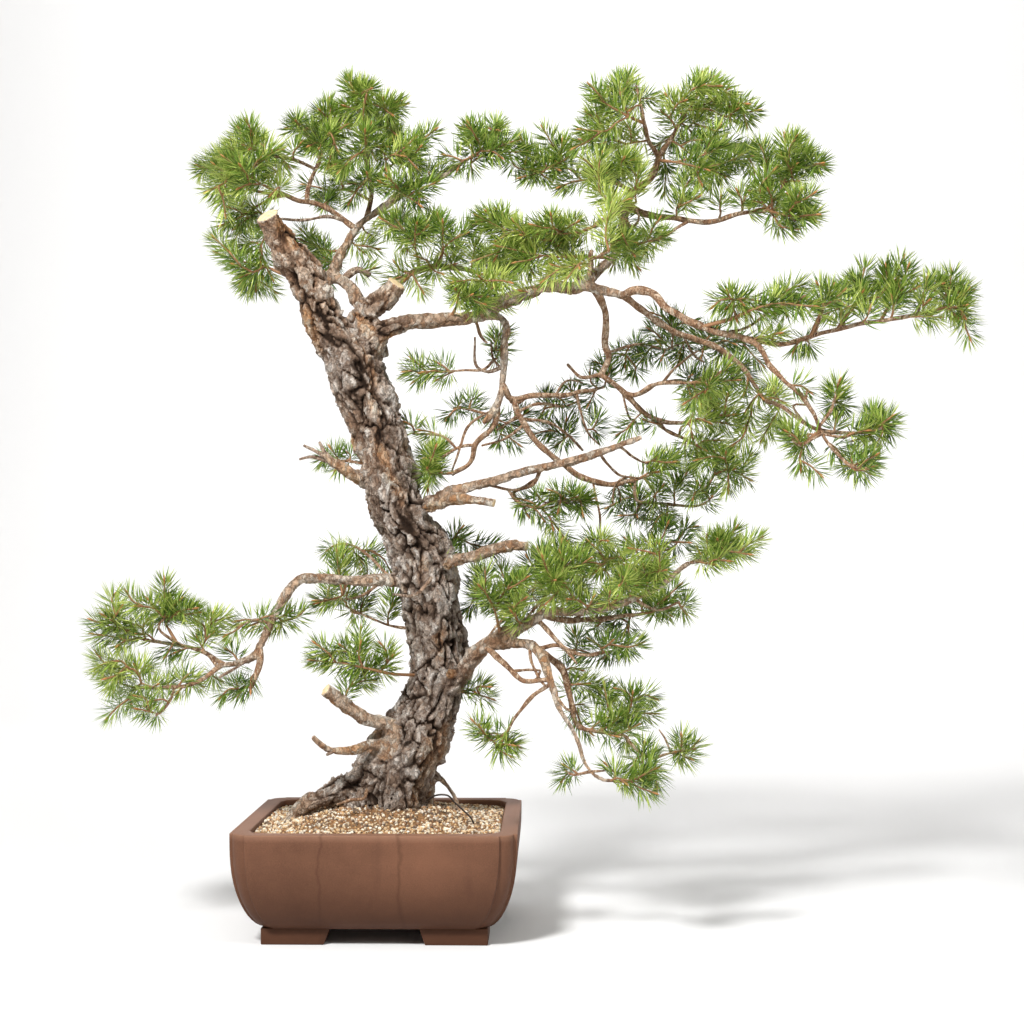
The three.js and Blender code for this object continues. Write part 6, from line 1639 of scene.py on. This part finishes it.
# Floor, light and camera. A pale floor that runs out of sight, soft studio light from above and both sides,
# and the camera at the height and distance that the plant was seen from.
FLOOR_SIZE = 14
FLOOR_BACK = 5.5
bpy.ops.object.select_all(action="DESELECT")
bpy.ops.mesh.primitive_plane_add(size=FLOOR_SIZE, location=(0, FLOOR_BACK - FLOOR_SIZE / 2, 0))
SWEEP_HEIGHT = 4.4
floor = start_piece("paper_sweep")
settle(floor)
bpy.ops.object.mode_set(mode="EDIT")
shape = bmesh.from_edit_mesh(floor.data)
shape.select_mode = {"EDGE"}
for edge in shape.edges:
    edge.select = all(corner.co.y > FLOOR_BACK - 0.1 for corner in edge.verts)
bmesh.update_edit_mesh(floor.data)
bpy.ops.mesh.extrude_region_move(TRANSFORM_OT_translate={"value": (0, 0, SWEEP_HEIGHT)})
bpy.ops.object.mode_set(mode="OBJECT")
apply_modifier(floor, "BEVEL", width=3.5, segments=32, limit_method="ANGLE")
bpy.ops.object.shade_smooth()
finish, nodes, links, shader = new_finish("white_paper", 0.95)
shader.inputs["Base Color"].default_value = (0.80, 0.797, 0.793, 1)
shader.inputs["Specular IOR Level"].default_value = 0.1
floor.data.materials.append(finish)


def softbox(place, aim, size, power):
    bpy.ops.object.light_add(type="AREA", location=place)
    lamp = bpy.context.object
    lamp.data.shape = "DISK"
    lamp.data.size = size
    lamp.data.energy = power
    lamp.rotation_euler = (Vector(aim) - Vector(place)).to_track_quat("-Z", "Y").to_euler()
    return lamp


softbox((-1.3, -2.4, 3.0), (0, 0, 0.6), 0.7, 180)
softbox((2.6, -2.0, 2.2), (0, 0, 0.6), 1.4, 40)
softbox((0.0, 2.2, 3.6), (0, 5.5, 2.0), 2.4, 110)

world = bpy.data.worlds.new("studio")
world.use_nodes = True
world.node_tree.nodes["Background"].inputs["Color"].default_value = (0.97, 0.98, 1.0, 1)
world.node_tree.nodes["Background"].inputs["Strength"].default_value = 0.62
bpy.context.scene.world = world
bpy.context.scene.view_settings.view_transform = "Standard"

FOCAL_PIXELS = 1860
bpy.ops.object.camera_add(
    location=(POT_X + VIEW_RIGHT / 1000, POT_Y - VIEW_DISTANCE / 1000, VIEW_HEIGHT / 1000),
    rotation=(math.radians(90 + 1.17), 0, math.radians(1.23)),
)
camera = bpy.context.object
camera.data.sensor_width = 36
camera.data.lens = FOCAL_PIXELS / 1024 * 36
camera.data.clip_end = 100
bpy.context.scene.camera = camera
